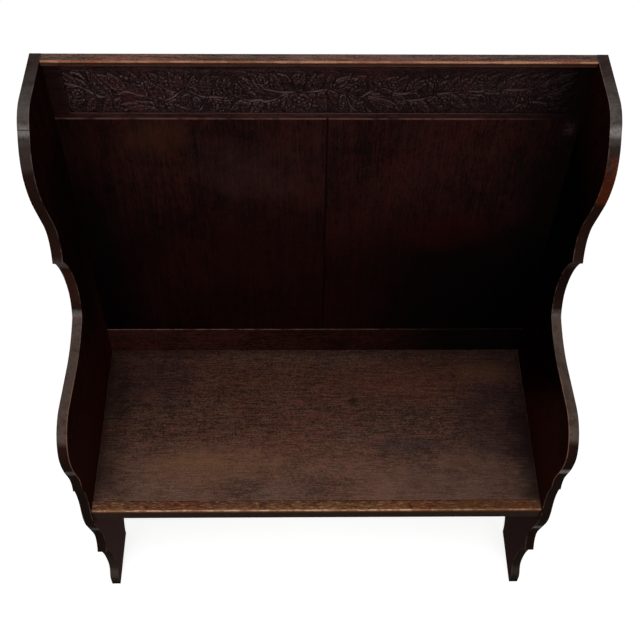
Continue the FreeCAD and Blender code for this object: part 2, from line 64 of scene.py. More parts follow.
class Tree:
    """A node tree, emptied first, with short names for the nodes that are used here."""

    def __init__(self, tree):
        self.tree = tree
        self.tree.nodes.clear()

    def node(self, kind):
        return self.tree.nodes.new(kind)

    def give(self, socket, value):
        """Links a socket to the value, or sets it where the value is a plain one."""
        if isinstance(value, bpy.types.NodeSocket):
            self.tree.links.new(value, socket)
        else:
            socket.default_value = value

    def split(self, vector):
        n = self.node("ShaderNodeSeparateXYZ")
        self.give(n.inputs[0], vector)
        return dict(zip("XYZ", n.outputs))

    def math(self, kind, a, b=0.0, clamp=False):
        n = self.node("ShaderNodeMath")
        n.operation, n.use_clamp = kind, clamp
        self.give(n.inputs[0], a)
        self.give(n.inputs[1], b)
        return n.outputs[0]

    def add(self, first, *others):
        for other in others:
            first = self.math("ADD", first, other)
        return first

    def less(self, a, b):
        return self.math("SUBTRACT", a, b)

    def times(self, first, *others):
        for other in others:
            first = self.math("MULTIPLY", first, other)
        return first

    def flip(self, share):
        return self.less(1.0, share)

    def size(self, value):
        return self.math("ABSOLUTE", value)

    def vector(self, kind, a, b):
        n = self.node("ShaderNodeVectorMath")
        n.operation = kind
        self.give(n.inputs[0], a)
        self.give(n.inputs[1], b)
        return n.outputs[0]

    def step(self, value, low, high):
        """0 at low, 1 at high, smooth between; low may be above high."""
        if low > high:
            return self.flip(self.step(value, high, low))
        n = self.node("ShaderNodeMapRange")
        n.interpolation_type = "SMOOTHSTEP"
        self.give(n.inputs[0], value)
        n.inputs[1].default_value, n.inputs[2].default_value = low, high
        return n.outputs[0]

    def span(self, value, low, high):
        """0..1 drawn out to low..high."""
        n = self.node("ShaderNodeMapRange")
        self.give(n.inputs[0], value)
        n.inputs[3].default_value, n.inputs[4].default_value = low, high
        return n.outputs[0]

    def noise(self, vector, scale, detail=2.0, rough=0.5):
        n = self.node("ShaderNodeTexNoise")
        self.give(n.inputs["Vector"], vector)
        n.inputs["Scale"].default_value = scale
        n.inputs["Detail"].default_value = detail
        n.inputs["Roughness"].default_value = rough
        return n.outputs[0]

    def mix(self, share, a, b, kind="MIX"):
        n = self.node("ShaderNodeMix")
        n.data_type, n.blend_type = "RGBA", kind
        self.give(n.inputs[0], share)
        self.give(n.inputs[6], a)
        self.give(n.inputs[7], b)
        return n.outputs[2]

    def background_rays(self):
        """1 for the rays that show the background: to the camera, or by way of gloss or glass."""
        rays = self.node("ShaderNodeLightPath").outputs
        indirect = self.math("MAXIMUM", rays["Is Glossy Ray"], rays["Is Transmission Ray"])
        return self.math("MAXIMUM", rays["Is Camera Ray"], indirect)


class Finish(Tree):
    """A material's node tree around one Principled shader; places are in metres."""

    def __init__(self, name):
        self.material = bpy.data.materials.new(name)
        self.material.use_nodes = True
        super().__init__(self.material.node_tree)
        out = self.node("ShaderNodeOutputMaterial")
        self.surface = self.node("ShaderNodeBsdfPrincipled")
        self.give(out.inputs[0], self.surface.outputs[0])
        self.place = self.node("ShaderNodeTexCoord").outputs["Object"]
        self.at = self.split(self.place)

    def ramp(self, axis, start, end):
        """0 where the place on an axis is start, 1 where it is end."""
        return self.step(self.at[axis], start, end)

    def near(self, axis, middle, reach, full):
        """1 within full of a place on an axis, 0 farther from it than reach."""
        return self.step(self.size(self.less(self.at[axis], middle)), reach, full)

    def bump(self, height, depth):
        n = self.node("ShaderNodeBump")
        n.inputs["Distance"].default_value = depth
        n.inputs["Strength"].default_value = 1.0
        self.give(n.inputs["Height"], height)
        return n.outputs[0]

    def attribute(self, name):
        n = self.node("ShaderNodeAttribute")
        n.attribute_name = name
        return n.outputs["Fac"]

    def edge_reach(self, low, high):
        """How far a point on a board is from the board's nearest edge."""
        gaps = [
            self.less((high[i] - low[i]) / 2,
                      self.size(self.less(self.at[axis], (high[i] + low[i]) / 2)))
            for i, axis in enumerate("XYZ")
        ]
        least = self.math("MINIMUM", self.math("MINIMUM", gaps[0], gaps[1]), gaps[2])
        most = self.math("MAXIMUM", self.math("MAXIMUM", gaps[0], gaps[1]), gaps[2])
        return self.less(self.less(self.add(*gaps), least), most)


# Oak

# Width of a year ring, in metres
RING_WIDTH = 0.0052
# Darkest and lightest tone of unfinished oak
RAW_OAK = rgb(82, 60, 42), rgb(142, 110, 80)
WAX_TINT = (1.0, 0.72, 0.62, 1.0)
# Tints that multiply the wood's colour, which drifts between two of them at each scale
WARM, COOL = (1.30, 0.84, 0.66, 1.0), (0.76, 0.78, 1.04, 1.0)
RED, OLIVE = (1.24, 0.86, 0.88, 1.0), (0.98, 1.10, 0.80, 1.0)
TINT_DRIFTS = ((3.6, WARM, COOL), (13.0, RED, COOL), (60.0, RED, OLIVE))
# Depth of the bump in metres: on planed, on carved and on unfinished wood
PLANED_BUMP, CARVED_BUMP, PLAIN_BUMP = 0.0005, 0.0006, 0.0006


class Oak(Finish):
    """Stained and waxed oak: rings, fibres, pores, cloudy tone, planed surface.

    The grain runs along one axis and across is the other axis of the board's face. The pith is
    the place of the rings' middle on across and on the third axis, and tilt leans the rings along
    the grain. patch and mark weigh coarse and fine changes of tone. raw names an axis: what
    faces its positive side is unfinished.
    """

    def __init__(self, name, grain, across, dark, light, pith=(0.0, 0.05), tilt=0.02,
                 rough=(0.36, 0.56), gloss=0.3, tint=WAX_TINT, patch=1.0, mark=1.0, seed=0.0,
                 figure=0.5, pores=0.6, raw=None):
        super().__init__(name)
        self.grain = grain
        self.facing = self.split(self.node("ShaderNodeNewGeometry").outputs["Normal"])
        self.shifted = self.vector("ADD", self.place, (seed, seed * 1.7, seed * 0.6))
        late = self.rings(across, pith, tilt)
        long, short = self.drawn(0.05), self.drawn(0.13)
        fibre = self.noise(long, 330.0, 4.0, 0.7)
        dash = self.noise(short, 240.0, 3.0, 0.65)
        pore = self.step(self.add(self.noise(short, 620.0), self.times(late, -0.08)), 0.58, 0.68)
        self.cloud = self.noise(self.shifted, 5.5, 4.0, 0.55)

        tone = self.add(0.45, self.times(self.less(late, 0.4), 0.34 * figure))
        for value, swing in (
            (fibre, 1.0 * mark),
            (self.noise(self.drawn(0.12), 400.0, 3.0, 0.75), 2.0 * mark),
            (dash, 0.7 * mark),
            (self.cloud, 1.2 * patch),
            (self.noise(long, 90.0, 3.0, 0.6), 0.7 * patch),
            (self.noise(self.shifted, 320.0, 3.0, 0.8), 3.0 * mark),
            (self.noise(self.shifted, 42.0, 3.0, 0.6), 0.6 * patch),
        ):
            tone = self.add(tone, self.span(value, -swing / 2, swing / 2))
        tone = self.math("MULTIPLY", tone, 1.0, clamp=True)
        self.colour = self.drifting(self.mix(tone, dark, light))
        self.rub(pore, pores, tuple(channel * 0.25 for channel in dark[:3]) + (1.0,))

        self.rough = self.add(self.span(self.noise(self.shifted, 38.0, 3.0), *rough),
                              self.times(pore, 0.12))
        self.height = self.add(self.times(late, 0.25), self.times(fibre, 0.6),
                               self.times(pore, -0.9), self.times(self.noise(long, 60.0), 0.8))
        self.surface.inputs["Specular IOR Level"].default_value = gloss
        self.surface.inputs["Specular Tint"].default_value = tint
        self.bare = None
        if raw:
            self.bare = self.step(self.facing[raw], 0.4, 0.8), self.mix(tone, *RAW_OAK)
            self.rough = self.add(self.rough, self.times(self.bare[0], 0.18))

    def rings(self, across, pith, tilt):
        """Share of late wood, in rings round a pith that wanders along the grain."""
        depth = (set("XYZ") - {self.grain, across}).pop()
        long = self.drawn(0.05)
        side = self.add(self.less(self.at[across], pith[0]),
                        self.span(self.noise(long, 9.0), -0.06, 0.06))
        down = self.add(self.less(self.at[depth], pith[1]), self.times(self.at[self.grain], tilt))
        reach = self.math("SQRT", self.add(self.times(side, side), self.times(down, down)))
        reach = self.add(reach, self.span(self.noise(long, 26.0, 3.0, 0.6), -0.015, 0.015))
        ring = self.math("FRACT", self.times(reach, 1 / RING_WIDTH))
        return self.times(self.step(ring, 0.0, 0.72), self.step(ring, 1.0, 0.9))

    def drawn(self, share):
        """Places squeezed to that share along the grain, so that noise is drawn out there."""
        squeeze = tuple(share if axis == self.grain else 1.0 for axis in "XYZ")
        return self.vector("MULTIPLY", self.shifted, squeeze)

    def drifting(self, plain):
        """The colour with its tint drifting over the board."""
        colour = plain
        for scale, one, other in TINT_DRIFTS:
            hue = self.noise(self.drawn(0.5), scale, 3.0, 0.6)
            for tint, limits in ((one, (0.48, 0.66)), (other, (0.52, 0.34))):
                tinted = self.mix(1.0, plain, tint, "MULTIPLY")
                colour = self.mix(self.times(self.step(hue, *limits), 0.5), colour, tinted)
        return colour

    def uneven(self, scale, low=0.34, high=0.62):
        """Patchy share between 0 and 1."""
        return self.step(self.noise(self.shifted, scale, 4.0, 0.65), low, high)

    def streaks(self, share, scale, low, high, detail=2.0, rough=0.5):
        """Patchy share drawn out along the grain."""
        return self.step(self.noise(self.drawn(share), scale, detail, rough), low, high)

    def rub(self, where, amount, colour):
        """Blends another colour in, by an amount, where the share says."""
        self.colour = self.mix(self.times(where, amount), self.colour, colour)

    def pale_edges_wear_and_highlight(self, node, colour, width, amount):
        """Paints a board's arrises paler, unevenly: wear, and on the bottom rail also a painted
        highlight.
        """
        close = self.step(self.edge_reach(*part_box(node)), width, width * 0.2)
        self.rub(self.times(close, self.uneven(30.0)), amount, colour)

    def front_arris(self, node, band, colour, amount, wander, patchy=(0.26, 0.52), spots=60.0):
        """Paints the upper front arris of a rail paler, for wear and a painted highlight, in a band
        whose width wanders by that much.
        """
        low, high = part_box(node)
        reach = self.math("MAXIMUM", self.less(self.at["Y"], low.y), self.less(high.z, self.at["Z"]))
        sway = self.span(self.noise(self.shifted, 46.0, 4.0, 0.65), -2 * wander, 2 * wander)
        close = self.step(self.add(reach, sway), *band)
        self.rub(self.times(close, self.uneven(spots, *patchy)), amount, colour)

    def rub_patches(self, axes, edge, patches):
        """Rubs elliptical patches on a face: middle, radii, amount and colour of each."""
        for middle, radii, amount, colour in patches:
            across, along = [
                self.math("POWER", self.times(self.less(self.at[axis], place), 1 / radius), 2.0)
                for axis, place, radius in zip(axes, middle, radii)
            ]
            self.rub(self.step(self.add(across, along, edge), 1.5, -0.3), amount, colour)

    def finished(self, depth=PLANED_BUMP):
        """The material, with its bare side and its bump to that depth."""
        if self.bare:
            self.rub(self.bare[0], 1.0, self.bare[1])
        self.give(self.surface.inputs["Base Color"], self.colour)
        self.give(self.surface.inputs["Roughness"], self.rough)
        self.give(self.surface.inputs["Normal"], self.bump(self.height, depth))
        return self.material


# Finishes of the pieces

def seat_material():
    """Seat board: worn pale towards the front, with painted shade dark towards the back and along the
    rail and the ends.
    """
    t = Oak("oak_seat", "X", "Y", rgb(34, 20, 15), rgb(92, 65, 54), pith=(0.06, 0.36), tilt=0.03,
            rough=(0.40, 0.58), gloss=0.16, patch=0.7, mark=1.5, pores=0.15, seed=3.1, figure=0.3)
    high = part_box("seat_board")[1]
    # Painted shade of the back darkens the rear; darker to the right, paler to the front, and pale
    # flecks
    t.rub(t.ramp("Y", -0.16, high.y), 0.42, rgb(22, 10, 8))
    t.rub(t.ramp("X", 0.16, 0.46), 0.26, rgb(28, 14, 14))
    t.rub(t.times(t.ramp("Y", 0.02, -0.18), t.step(t.cloud, 0.26, 0.62)), 0.35, rgb(118, 90, 76))
    t.rub(t.streaks(0.35, 420.0, 0.69, 0.74, 1.0), 0.4, rgb(150, 118, 94))

    # Stains, worn patches and dark strips along the ends and the rail: middle and radii on X and Y in
    # metres, amount, colour
    purple, gold, blackish = rgb(24, 14, 20), rgb(112, 76, 44), rgb(18, 10, 11)
    patches = (
        ((-0.42, 0.14), (0.14, 0.11), 0.50, purple),
        ((0.45, 0.05), (0.13, 0.19), 0.62, purple),
        ((-0.50, 0.02), (0.06, 0.20), 0.65, rgb(24, 12, 9)),
        ((-0.495, -0.13), (0.04, 0.07), 0.5, rgb(30, 19, 22)),
        ((0.495, -0.06), (0.055, 0.20), 0.85, blackish),
        ((0.35, 0.19), (0.22, 0.05), 0.35, blackish),
        ((-0.154, 0.028), (0.02, 0.035), 0.25, blackish),
        ((0.26, -0.145), (0.18, 0.065), 0.42, rgb(108, 78, 65)),
        ((-0.25, -0.10), (0.20, 0.05), 0.26, rgb(122, 84, 60)),
        ((0.34, -0.09), (0.08, 0.03), 0.25, rgb(108, 78, 62)),
        ((-0.28, -0.085), (0.09, 0.022), 0.22, gold),
        ((0.395, 0.15), (0.09, 0.035), 0.14, gold),
        ((0.19, 0.12), (0.17, 0.07), 0.28, rgb(86, 40, 28)),
        ((0.20, -0.046), (0.085, 0.022), 0.40, rgb(34, 30, 38)),
        ((0.088, 0.069), (0.014, 0.012), 0.85, rgb(12, 8, 9)),
    )
    edge = t.add(t.span(t.noise(t.shifted, 16.0, 4.0, 0.65), -1.2, 1.2),
                 t.span(t.noise(t.drawn(0.12), 300.0), -0.9, 0.9))
    t.rub_patches("XY", edge, patches)
    # Painted shade in the corners along the rail and the ends
    corner = t.math("MAXIMUM", t.ramp("Y", high.y - 0.0253, high.y - 0.0013),
                    t.step(t.size(t.at["X"]), high.x - 0.0204, high.x - 0.0014))
    t.rub(corner, 0.5, rgb(18, 9, 7))
    t.pale_edges_wear_and_highlight("seat_board", rgb(88, 66, 60), 0.0018, 0.4)
    return t.finished()


def nosing_material():
    """Front rail of the seat: pale along its upper front arris with wear and a painted highlight, dark
    with painted shade below it.
    """
    node = "seat_front_rail"
    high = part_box(node)[1]
    t = Oak("oak_nosing", "X", "Z", rgb(28, 16, 10), rgb(92, 62, 42), pith=(0.40, -0.26),
            tilt=0.02, rough=(0.42, 0.6), gloss=0.01, mark=1.1, patch=0.6, seed=7.7)
    t.front_arris(node, (0.0340, 0.0120), rgb(110, 74, 48), 0.8, 0.003)
    t.rub(t.ramp("X", 0.05, -0.35), 0.5, rgb(80, 51, 46))
    # Painted highlight in pale streaks above the arris line
    t.front_arris(node, (0.0110, 0.0050), rgb(138, 94, 58), 0.65, 0.003, (0.42, 0.60), 26.0)
    t.rub(t.uneven(9.0, 0.50, 0.60), 0.4, rgb(112, 76, 34))
    elsewhere = t.vector("ADD", t.shifted, (5.0, 0.0, 0.0))
    t.rub(t.step(t.noise(elsewhere, 8.0, 3.0, 0.6), 0.50, 0.60), 0.4, rgb(96, 42, 36))
    t.rub(t.streaks(0.22, 340.0, 0.46, 0.62, 3.0, 0.75), 0.7, rgb(46, 22, 15))
    t.rub(t.streaks(0.22, 300.0, 0.52, 0.66, 3.0, 0.7), 0.7, rgb(152, 110, 80))
    t.rub(t.step(t.noise(t.shifted, 260.0, 3.0, 0.7), 0.58, 0.66), 0.6, rgb(30, 16, 12))
    # Painted highlight: a thin light line on the arris, with brighter spots
    t.front_arris(node, (0.0046, 0.0032), rgb(150, 108, 80), 0.95, 0.0010, (0.0, 0.36), 30.0)
    t.front_arris(node, (0.0046, 0.0030), rgb(204, 166, 140), 0.9, 0.0010, (0.44, 0.58), 20.0)
    t.rub(t.ramp("X", 0.18, 0.34), 0.5, rgb(70, 42, 26))
    # Joint with the seat board, and the shade under the round
    t.rub(t.ramp("Y", high.y - 0.0030, high.y - 0.0005), 0.7, rgb(20, 8, 5))
    t.rub(t.ramp("Z", high.z - 0.0014, high.z - 0.0030), 0.85, rgb(66, 36, 16))
    t.rub(t.ramp("Z", high.z - 0.0045, high.z - 0.0070), 0.97, rgb(30, 18, 10))
    return t.finished()


def panel_material(node, name, seed, middle):
    """Back panel: painted shade makes it near black towards the seat, the ends and the right; scuffed
    at one corner.
    """
    t = Oak(name, "Z", "X", rgb(8, 3, 3), rgb(38, 16, 14), pith=(middle, 0.27), tilt=0.05,
            rough=(0.5, 0.66), gloss=0.02, patch=1.8, mark=0.75, seed=seed, figure=0.6, raw="Y")
    side = t.size(t.at["X"])
    # Painted shade: darker towards the seat, black in the lower right; and stains
    t.rub(t.ramp("Z", 1.10, 0.80), 0.66, rgb(11, 1, 1))
    t.rub(t.times(t.ramp("X", 0.02, 0.28), t.ramp("Z", 0.96, 0.76)), 0.92, BLACK)
    edge = t.span(t.noise(t.shifted, 14.0, 4.0, 0.65), -1.2, 1.2)
    t.rub_patches("XZ", edge, (
        ((-0.31, 1.16), (0.06, 0.06), 0.32, rgb(60, 32, 18)),
        ((-0.14, 1.07), (0.11, 0.09), 0.20, rgb(64, 41, 39)),
        ((0.28, 0.89), (0.10, 0.06), 0.18, rgb(50, 6, 6)),
    ))
    # Crossed scratches at the right panel's upper corner
    scuff_x, scuff_z, scratch_turns = 0.481, 1.184, 1050.0
    slants = [turn(t.at["X"], t.at["Z"]) for turn in (t.add, t.less)]
    waves = [t.math("SINE", t.times(slant, scratch_turns)) for slant in slants]
    scratch = t.times(t.step(t.math("MAXIMUM", *waves), 0.70, 0.98), t.uneven(110.0, 0.40, 0.60))
    scuffed = t.times(t.near("X", scuff_x, 0.015, 0.002), t.near("Z", scuff_z, 0.024, 0.003))
    t.rub(t.times(scuffed, scratch), 0.85, rgb(92, 84, 82))
    # Painted shade: black into the corners with the ends
    t.rub(t.step(side, 0.34, 0.485), 0.6, BLACK)
    t.rub(t.times(t.step(side, 0.40, 0.47), t.ramp("Z", 1.16, 0.95)), 0.6, BLACK)
    # Painted highlight: a pale line under the frieze, fading out at the right end; and the dark seam
    frieze_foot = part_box("frieze_rail")[0].z
    line = t.times(t.ramp("Z", frieze_foot - 0.0032, frieze_foot - 0.0016), t.uneven(24.0, 0.30, 0.56))
    t.rub(t.times(line, t.ramp("X", 0.46, 0.25)), 0.8, rgb(84, 58, 52))
    low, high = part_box(node)
    seam = t.math("MINIMUM", *(t.size(t.less(t.at["X"], place)) for place in (low.x, high.x)))
    t.rub(t.step(seam, 0.0030, 0.0006), 0.8, rgb(5, 1, 1))
    return t.finished()


def rail_material():
    """Bottom rail: speckled, pale along its top arris with wear and a painted highlight, and painted
    shade black towards the right.
    """
    t = Oak("oak_rail", "X", "Z", rgb(15, 6, 5), rgb(54, 26, 22), pith=(0.47, 0.27), tilt=0.02,
            rough=(0.45, 0.6), gloss=0.05, mark=3.0, patch=2.2, seed=1.3, raw="Y")
    # Wear and a painted highlight on the arrises
    t.pale_edges_wear_and_highlight("bottom_rail", rgb(108, 86, 78), 0.0020, 0.85)
    # Painted shade, black towards the right
    t.rub(t.ramp("X", -0.26, 0.10), 0.5, rgb(12, 2, 2))
    t.rub(t.ramp("X", 0.10, 0.32), 0.92, BLACK)
    return t.finished()


def cap_material():
    """Cap: pale on top and along its front arris, with wear and a painted highlight there, and painted
    shade on its front face.
    """
    t = Oak("oak_cap", "X", "Y", rgb(32, 19, 15), rgb(106, 80, 70), pith=(0.22, 1.30), tilt=0.01,
            rough=(0.34, 0.5), gloss=0.08, mark=1.05, seed=4.9)
    low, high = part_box("cap_rail")
    # Painted shade on the front face, darkest in a line under the arris
    below = t.ramp("Z", high.z - 0.0026, high.z - 0.0040)
    t.rub(below, 0.92, rgb(34, 12, 6))
    t.rub(t.times(below, t.ramp("Z", high.z - 0.0062, high.z - 0.0046)), 0.7, rgb(34, 8, 3))
    # Pale lower arris of the front face: wear and a painted highlight
    foot = t.math("MAXIMUM", t.less(t.at["Y"], low.y), t.less(t.at["Z"], low.z))
    t.rub(t.times(t.step(foot, 0.0030, 0.0012), t.uneven(40.0, 0.3, 0.6)), 0.6, rgb(76, 46, 34))
    # Front arris: wear and a painted highlight
    t.front_arris("cap_rail", (0.0036, 0.0020), rgb(118, 70, 46), 0.9, 0.0010, (0.20, 0.50), 30.0)
    t.front_arris("cap_rail", (0.0034, 0.0020), rgb(156, 110, 84), 0.85, 0.0012, (0.40, 0.62), 14.0)
    # Less painted shade on the front face at the left end
    t.rub(t.times(below, t.ramp("X", -0.455, -0.485)), 0.6, rgb(60, 44, 38))
    return t.finished()


def carved_material():
    """Frieze: crests pale with wear and painted highlight, hollows dark with grime and painted shade,
    dark margins with painted shade.
    """
    t = Oak("oak_carved", "X", "Z", rgb(16, 8, 8), rgb(56, 36, 35), pith=(1.28, 0.29), tilt=0.01,
            rough=(0.40, 0.55), gloss=0.02, tint=(1.0, 0.85, 0.85, 1.0), seed=6.2, figure=0.4,
            raw="Y")
    low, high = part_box("frieze_rail")
    # Painted shade deepening into the sunk field
    t.rub(t.ramp("Y", low.y + 0.0003, FIELD_GROUND), 0.55, rgb(12, 6, 7))
    # What the carving's mesh says of each point: crests with wear and painted highlight, up-facing
    # slopes with painted highlight, down-facing slopes with painted shade, hollows with grime and
    # painted shade
    crest = t.times(t.step(t.attribute("crest"), 0.08, 0.36), t.uneven(40.0, 0.30, 0.60))
    t.rub(crest, 0.46, rgb(100, 81, 80))
    t.rub(t.step(t.attribute("ledge"), 0.05, 0.35), 0.46, rgb(84, 66, 64))
    t.rub(t.step(t.attribute("under"), 0.05, 0.35), 0.6, rgb(10, 5, 6))
    t.rub(t.step(t.attribute("hollow"), 0.04, 0.30), 0.65, rgb(8, 3, 4))
    t.rub(t.uneven(14.0, 0.56, 0.68), 0.3, rgb(58, 24, 24))
    t.height = t.add(t.height, t.times(t.noise(t.shifted, 260.0), 0.9))
    # Paler top margin, painted shade in the end margins, and the painted shade that deepens to the
    # right
    t.rub(t.ramp("Z", high.z - 0.013, high.z - 0.005), 0.6, rgb(64, 37, 31))
    t.rub(t.step(t.size(t.at["X"]), 0.452, 0.478), 0.75, rgb(12, 3, 3))
    t.rub(t.ramp("X", 0.34, 0.47), 0.85, rgb(4, 1, 1))
    t.rub(t.ramp("X", -0.20, 0.34), 0.42, rgb(9, 4, 5))
    # Painted highlight on the lower edge of the field and painted light on the margin below it, both
    # fading out at the right end; dark streaks on that margin
    lit = t.ramp("X", 0.46, 0.25)
    sill = t.times(t.near("Z", FIELD_LOW, 0.0022, 0.0010), t.ramp("Y", low.y + 0.0011, low.y + 0.0003),
                   t.ramp("X", FIELD_LEFT - 0.003, FIELD_LEFT + 0.002), t.uneven(18.0, 0.22, 0.5), lit)
    t.rub(sill, 0.5, rgb(80, 58, 56))
    foot = t.ramp("Z", FIELD_LOW - 0.001, FIELD_LOW - 0.004)
    t.rub(t.times(foot, lit), 0.35, rgb(52, 24, 18))
    t.rub(t.times(foot, t.streaks(0.06, 330.0, 0.46, 0.60)), 0.6, rgb(16, 5, 5))
    return t.finished(CARVED_BUMP)


def rub_inner_faces(t, within, left, right):
    """Inner faces of the ends: reddish low down; painted shade black high up, at the back and along a
    slant on the right; painted light low at the front; paler feet.
    """
    t.rub(t.times(within, t.ramp("Z", 0.80, 0.50)), 0.6, rgb(44, 12, 7))
    # Painted shade: black high up and at the back
    t.rub(t.times(within, t.ramp("Z", 0.70, 0.95)), 0.5, rgb(6, 1, 1))
    rear = t.times(within, t.ramp("Y", 0.02, 0.13), t.ramp("Z", 0.62, 0.74))
    t.rub(t.times(rear, t.ramp("Z", 1.24, 1.10)), 0.45, BLACK)
    # Painted shadow: the right end's black starts along a slant, lower at the back
    slant = t.add(t.at["Z"], t.times(t.at["Y"], 1.6))
    shaded = t.times(t.step(slant, 0.50, 0.68), t.ramp("Z", 1.26, 1.08))
    t.rub(t.times(within, right, shaded), 0.85, BLACK)
    # Painted light, warm, low at the front
    t.rub(t.times(within, t.ramp("Y", 0.0, -0.13), t.ramp("Z", 0.80, 0.60)), 0.6, rgb(38, 17, 11))
    foot = t.times(within, t.ramp("Z", 0.44, 0.36))
    t.rub(t.times(foot, left), 0.75, rgb(64, 45, 44))
    t.rub(t.times(foot, right), 0.75, rgb(44, 27, 27))


def rub_rims(t, rim, left, right, wide):
    """Rims of the ends: brown, with a painted grey sheen where they face up and an orange rub at the
    right.
    """
    t.rub(rim, 0.55, rgb(38, 25, 20))
    # Between the wing and the arm
    waist = t.times(rim, t.ramp("Z", 0.81, 0.84), t.ramp("Z", 0.97, 0.92))
    t.rub(t.times(waist, left), 0.6, rgb(56, 30, 24))
    t.rub(t.times(waist, right), 0.6, rgb(20, 11, 9))
    t.rub(t.times(rim, t.ramp("Z", 0.74, 0.68)), 0.5, rgb(22, 18, 15))
    # Painted sheen on what faces up, greyer on the shoulders and the top
    painted_sheen = t.times(t.step(t.facing["Z"], 0.52, 0.72), t.uneven(30.0, 0.10, 0.60),
                    t.ramp("Z", 0.27, 0.31))
    top = t.mix(t.ramp("Y", 0.21, 0.09), rgb(54, 45, 42), rgb(76, 71, 68))
    grey = t.mix(t.ramp("Z", 0.95, 1.20), rgb(80, 67, 61), top)
    t.rub(t.times(rim, painted_sheen), 0.95, grey)
    # Painted sheen below the shoulder, a darker grey, and dark on the right end
    t.rub(t.times(rim, t.ramp("Z", 1.255, 1.275), t.ramp("Z", 1.312, 1.300)), 0.6, rgb(56, 49, 46))
    t.rub(t.times(rim, right, t.ramp("Z", 1.25, 1.27), t.ramp("Z", 1.315, 1.305)), 0.6, rgb(34, 23, 19))
    # Striped orange rub on the wing, strongest at the right
    stripe_turns = t.times(t.add(t.at["Z"], t.times(wide, 0.4)), 1300.0)
    stripe = t.span(t.math("SINE", stripe_turns), 0.4, 1.0)
    orange = t.times(rim, t.ramp("Z", 1.165, 1.190), t.ramp("Z", 1.296, 1.286), stripe,
                     t.span(t.at["X"], -0.2, 1.2), t.uneven(40.0, 0.34, 0.50))
    t.rub(orange, 0.95, rgb(112, 44, 16))


# Painted glints on the rims: height, reach up and down, and amount on the left and the right end
GLINTS = (
    (0.652, 0.020, 0.45, 1.0),
    (0.351, 0.020, 0.35, 0.75),
    (0.796, 0.010, 0.6, 0.25),
    (1.327, 0.011, 0.65, 0.85),
    (0.972, 0.036, 0.40, 0.10),
)
# Height of the crack across the left end's shoulder
CRACK = 1.3285


def rub_glints(t, rim, left, dapple):
    """Painted glints on the forward parts of the rims, and the dark crack in the left one."""
    ahead = t.ramp("Y", 0.12, 0.06)
    for level, reach, on_left, on_right in GLINTS:
        share = t.times(t.span(left, on_right, on_left), dapple)
        t.rub(t.times(t.near("Z", level, reach, reach * 0.2), rim, ahead, share), 1.0,
              rgb(122, 118, 115))
    t.rub(t.times(t.near("Z", CRACK, 0.0012, 0.0004), rim, left), 0.8, rgb(24, 18, 16))


def rub_inner_arris(t, rim, wide, inner):
    """Worn inner arris of the rims, palest where hands rest on the arms."""
    close = t.times(t.step(t.less(wide, inner), 0.0024, 0.0008), rim)
    hand = t.times(t.ramp("Z", 0.56, 0.62), t.ramp("Z", 0.86, 0.82), t.ramp("Y", -0.02, -0.12),
                   t.uneven(30.0, 0.2, 0.5))
    t.rub(t.times(close, hand), 0.6, rgb(140, 88, 68))
    t.rub(t.times(close, t.uneven(34.0, 0.40, 0.60)), 0.45, rgb(104, 86, 80))


def rub_feet(t, rim, left, dapple):
    """Rims of the feet: greyer than the rest with painted sheen, a painted highlight near the floor,
    and dark soles.
    """
    # Painted sheen: greyer low down, more on the left
    t.rub(t.times(rim, t.ramp("Z", 0.20, 0.07), t.span(left, 0.4, 1.0)), 0.8, rgb(46, 41, 35))
    # Painted highlight on the knob near the floor
    rubbed = t.times(t.near("Z", 0.048, 0.018, 0.004), dapple, t.span(left, 0.5, 1.0))
    t.rub(t.times(rim, rubbed), 0.42, rgb(86, 80, 72))
    t.rub(t.times(rim, t.ramp("Z", 0.022, 0.006)), 0.7, rgb(14, 12, 10))


def end_material():
    """Plank ends: near black faces with painted shade inside, outer faces painted lighter, and brown,
    worn rims with painted sheen and glints.
    """
    t = Oak("oak_ends", "Z", "Y", rgb(12, 5, 4), rgb(40, 20, 15), pith=(0.02, 0.56), tilt=0.015,
            rough=(0.42, 0.56), gloss=0.0003, tint=(1.0, 0.92, 0.86, 1.0), seed=2.4, figure=0.6)
    inner, outer = (corner.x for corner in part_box("end_right"))
    wide = t.size(t.at["X"])
    rim = t.step(t.size(t.facing["X"]), 0.985, 0.90)
    left = t.ramp("X", 0.1, -0.1)
    right = t.flip(left)
    rub_inner_faces(t, t.step(wide, inner + 0.0002, inner), left, right)
    # The outer faces are the same wood painted lighter, as if in more light
    outside = t.times(t.flip(rim), t.step(wide, outer - 0.0006, outer - 0.0001))
    t.rub(outside, 1.0, t.mix(1.0, t.colour, (2.6, 2.5, 2.4, 1.0), "MULTIPLY"))
    rub_rims(t, rim, left, right, wide)
    dapple = t.span(t.noise(t.shifted, 130.0, 3.0, 0.7), 0.1, 1.5)
    rub_glints(t, rim, left, dapple)
    t.rub(t.times(rim, t.streaks(0.2, 240.0, 0.5, 0.66, 3.0, 0.7)), 0.35, rgb(24, 15, 12))
    rub_inner_arris(t, rim, wide, inner)
    rub_feet(t, rim, left, dapple)
    return t.finished()


def plain_material():
    """Bare oak of the pieces under the seat and behind the panels."""
    t = Oak("oak_plain", "X", "Y", rgb(52, 35, 24), rgb(98, 72, 50), pith=(0.0, 0.38),
            rough=(0.55, 0.72), gloss=0.2, seed=9.5)
    return t.finished(PLAIN_BUMP)


def peg_material():
    t = Oak("oak_peg", "X", "Y", rgb(22, 13, 10), rgb(60, 38, 28), rough=(0.4, 0.6), seed=5.5)
    return t.finished()


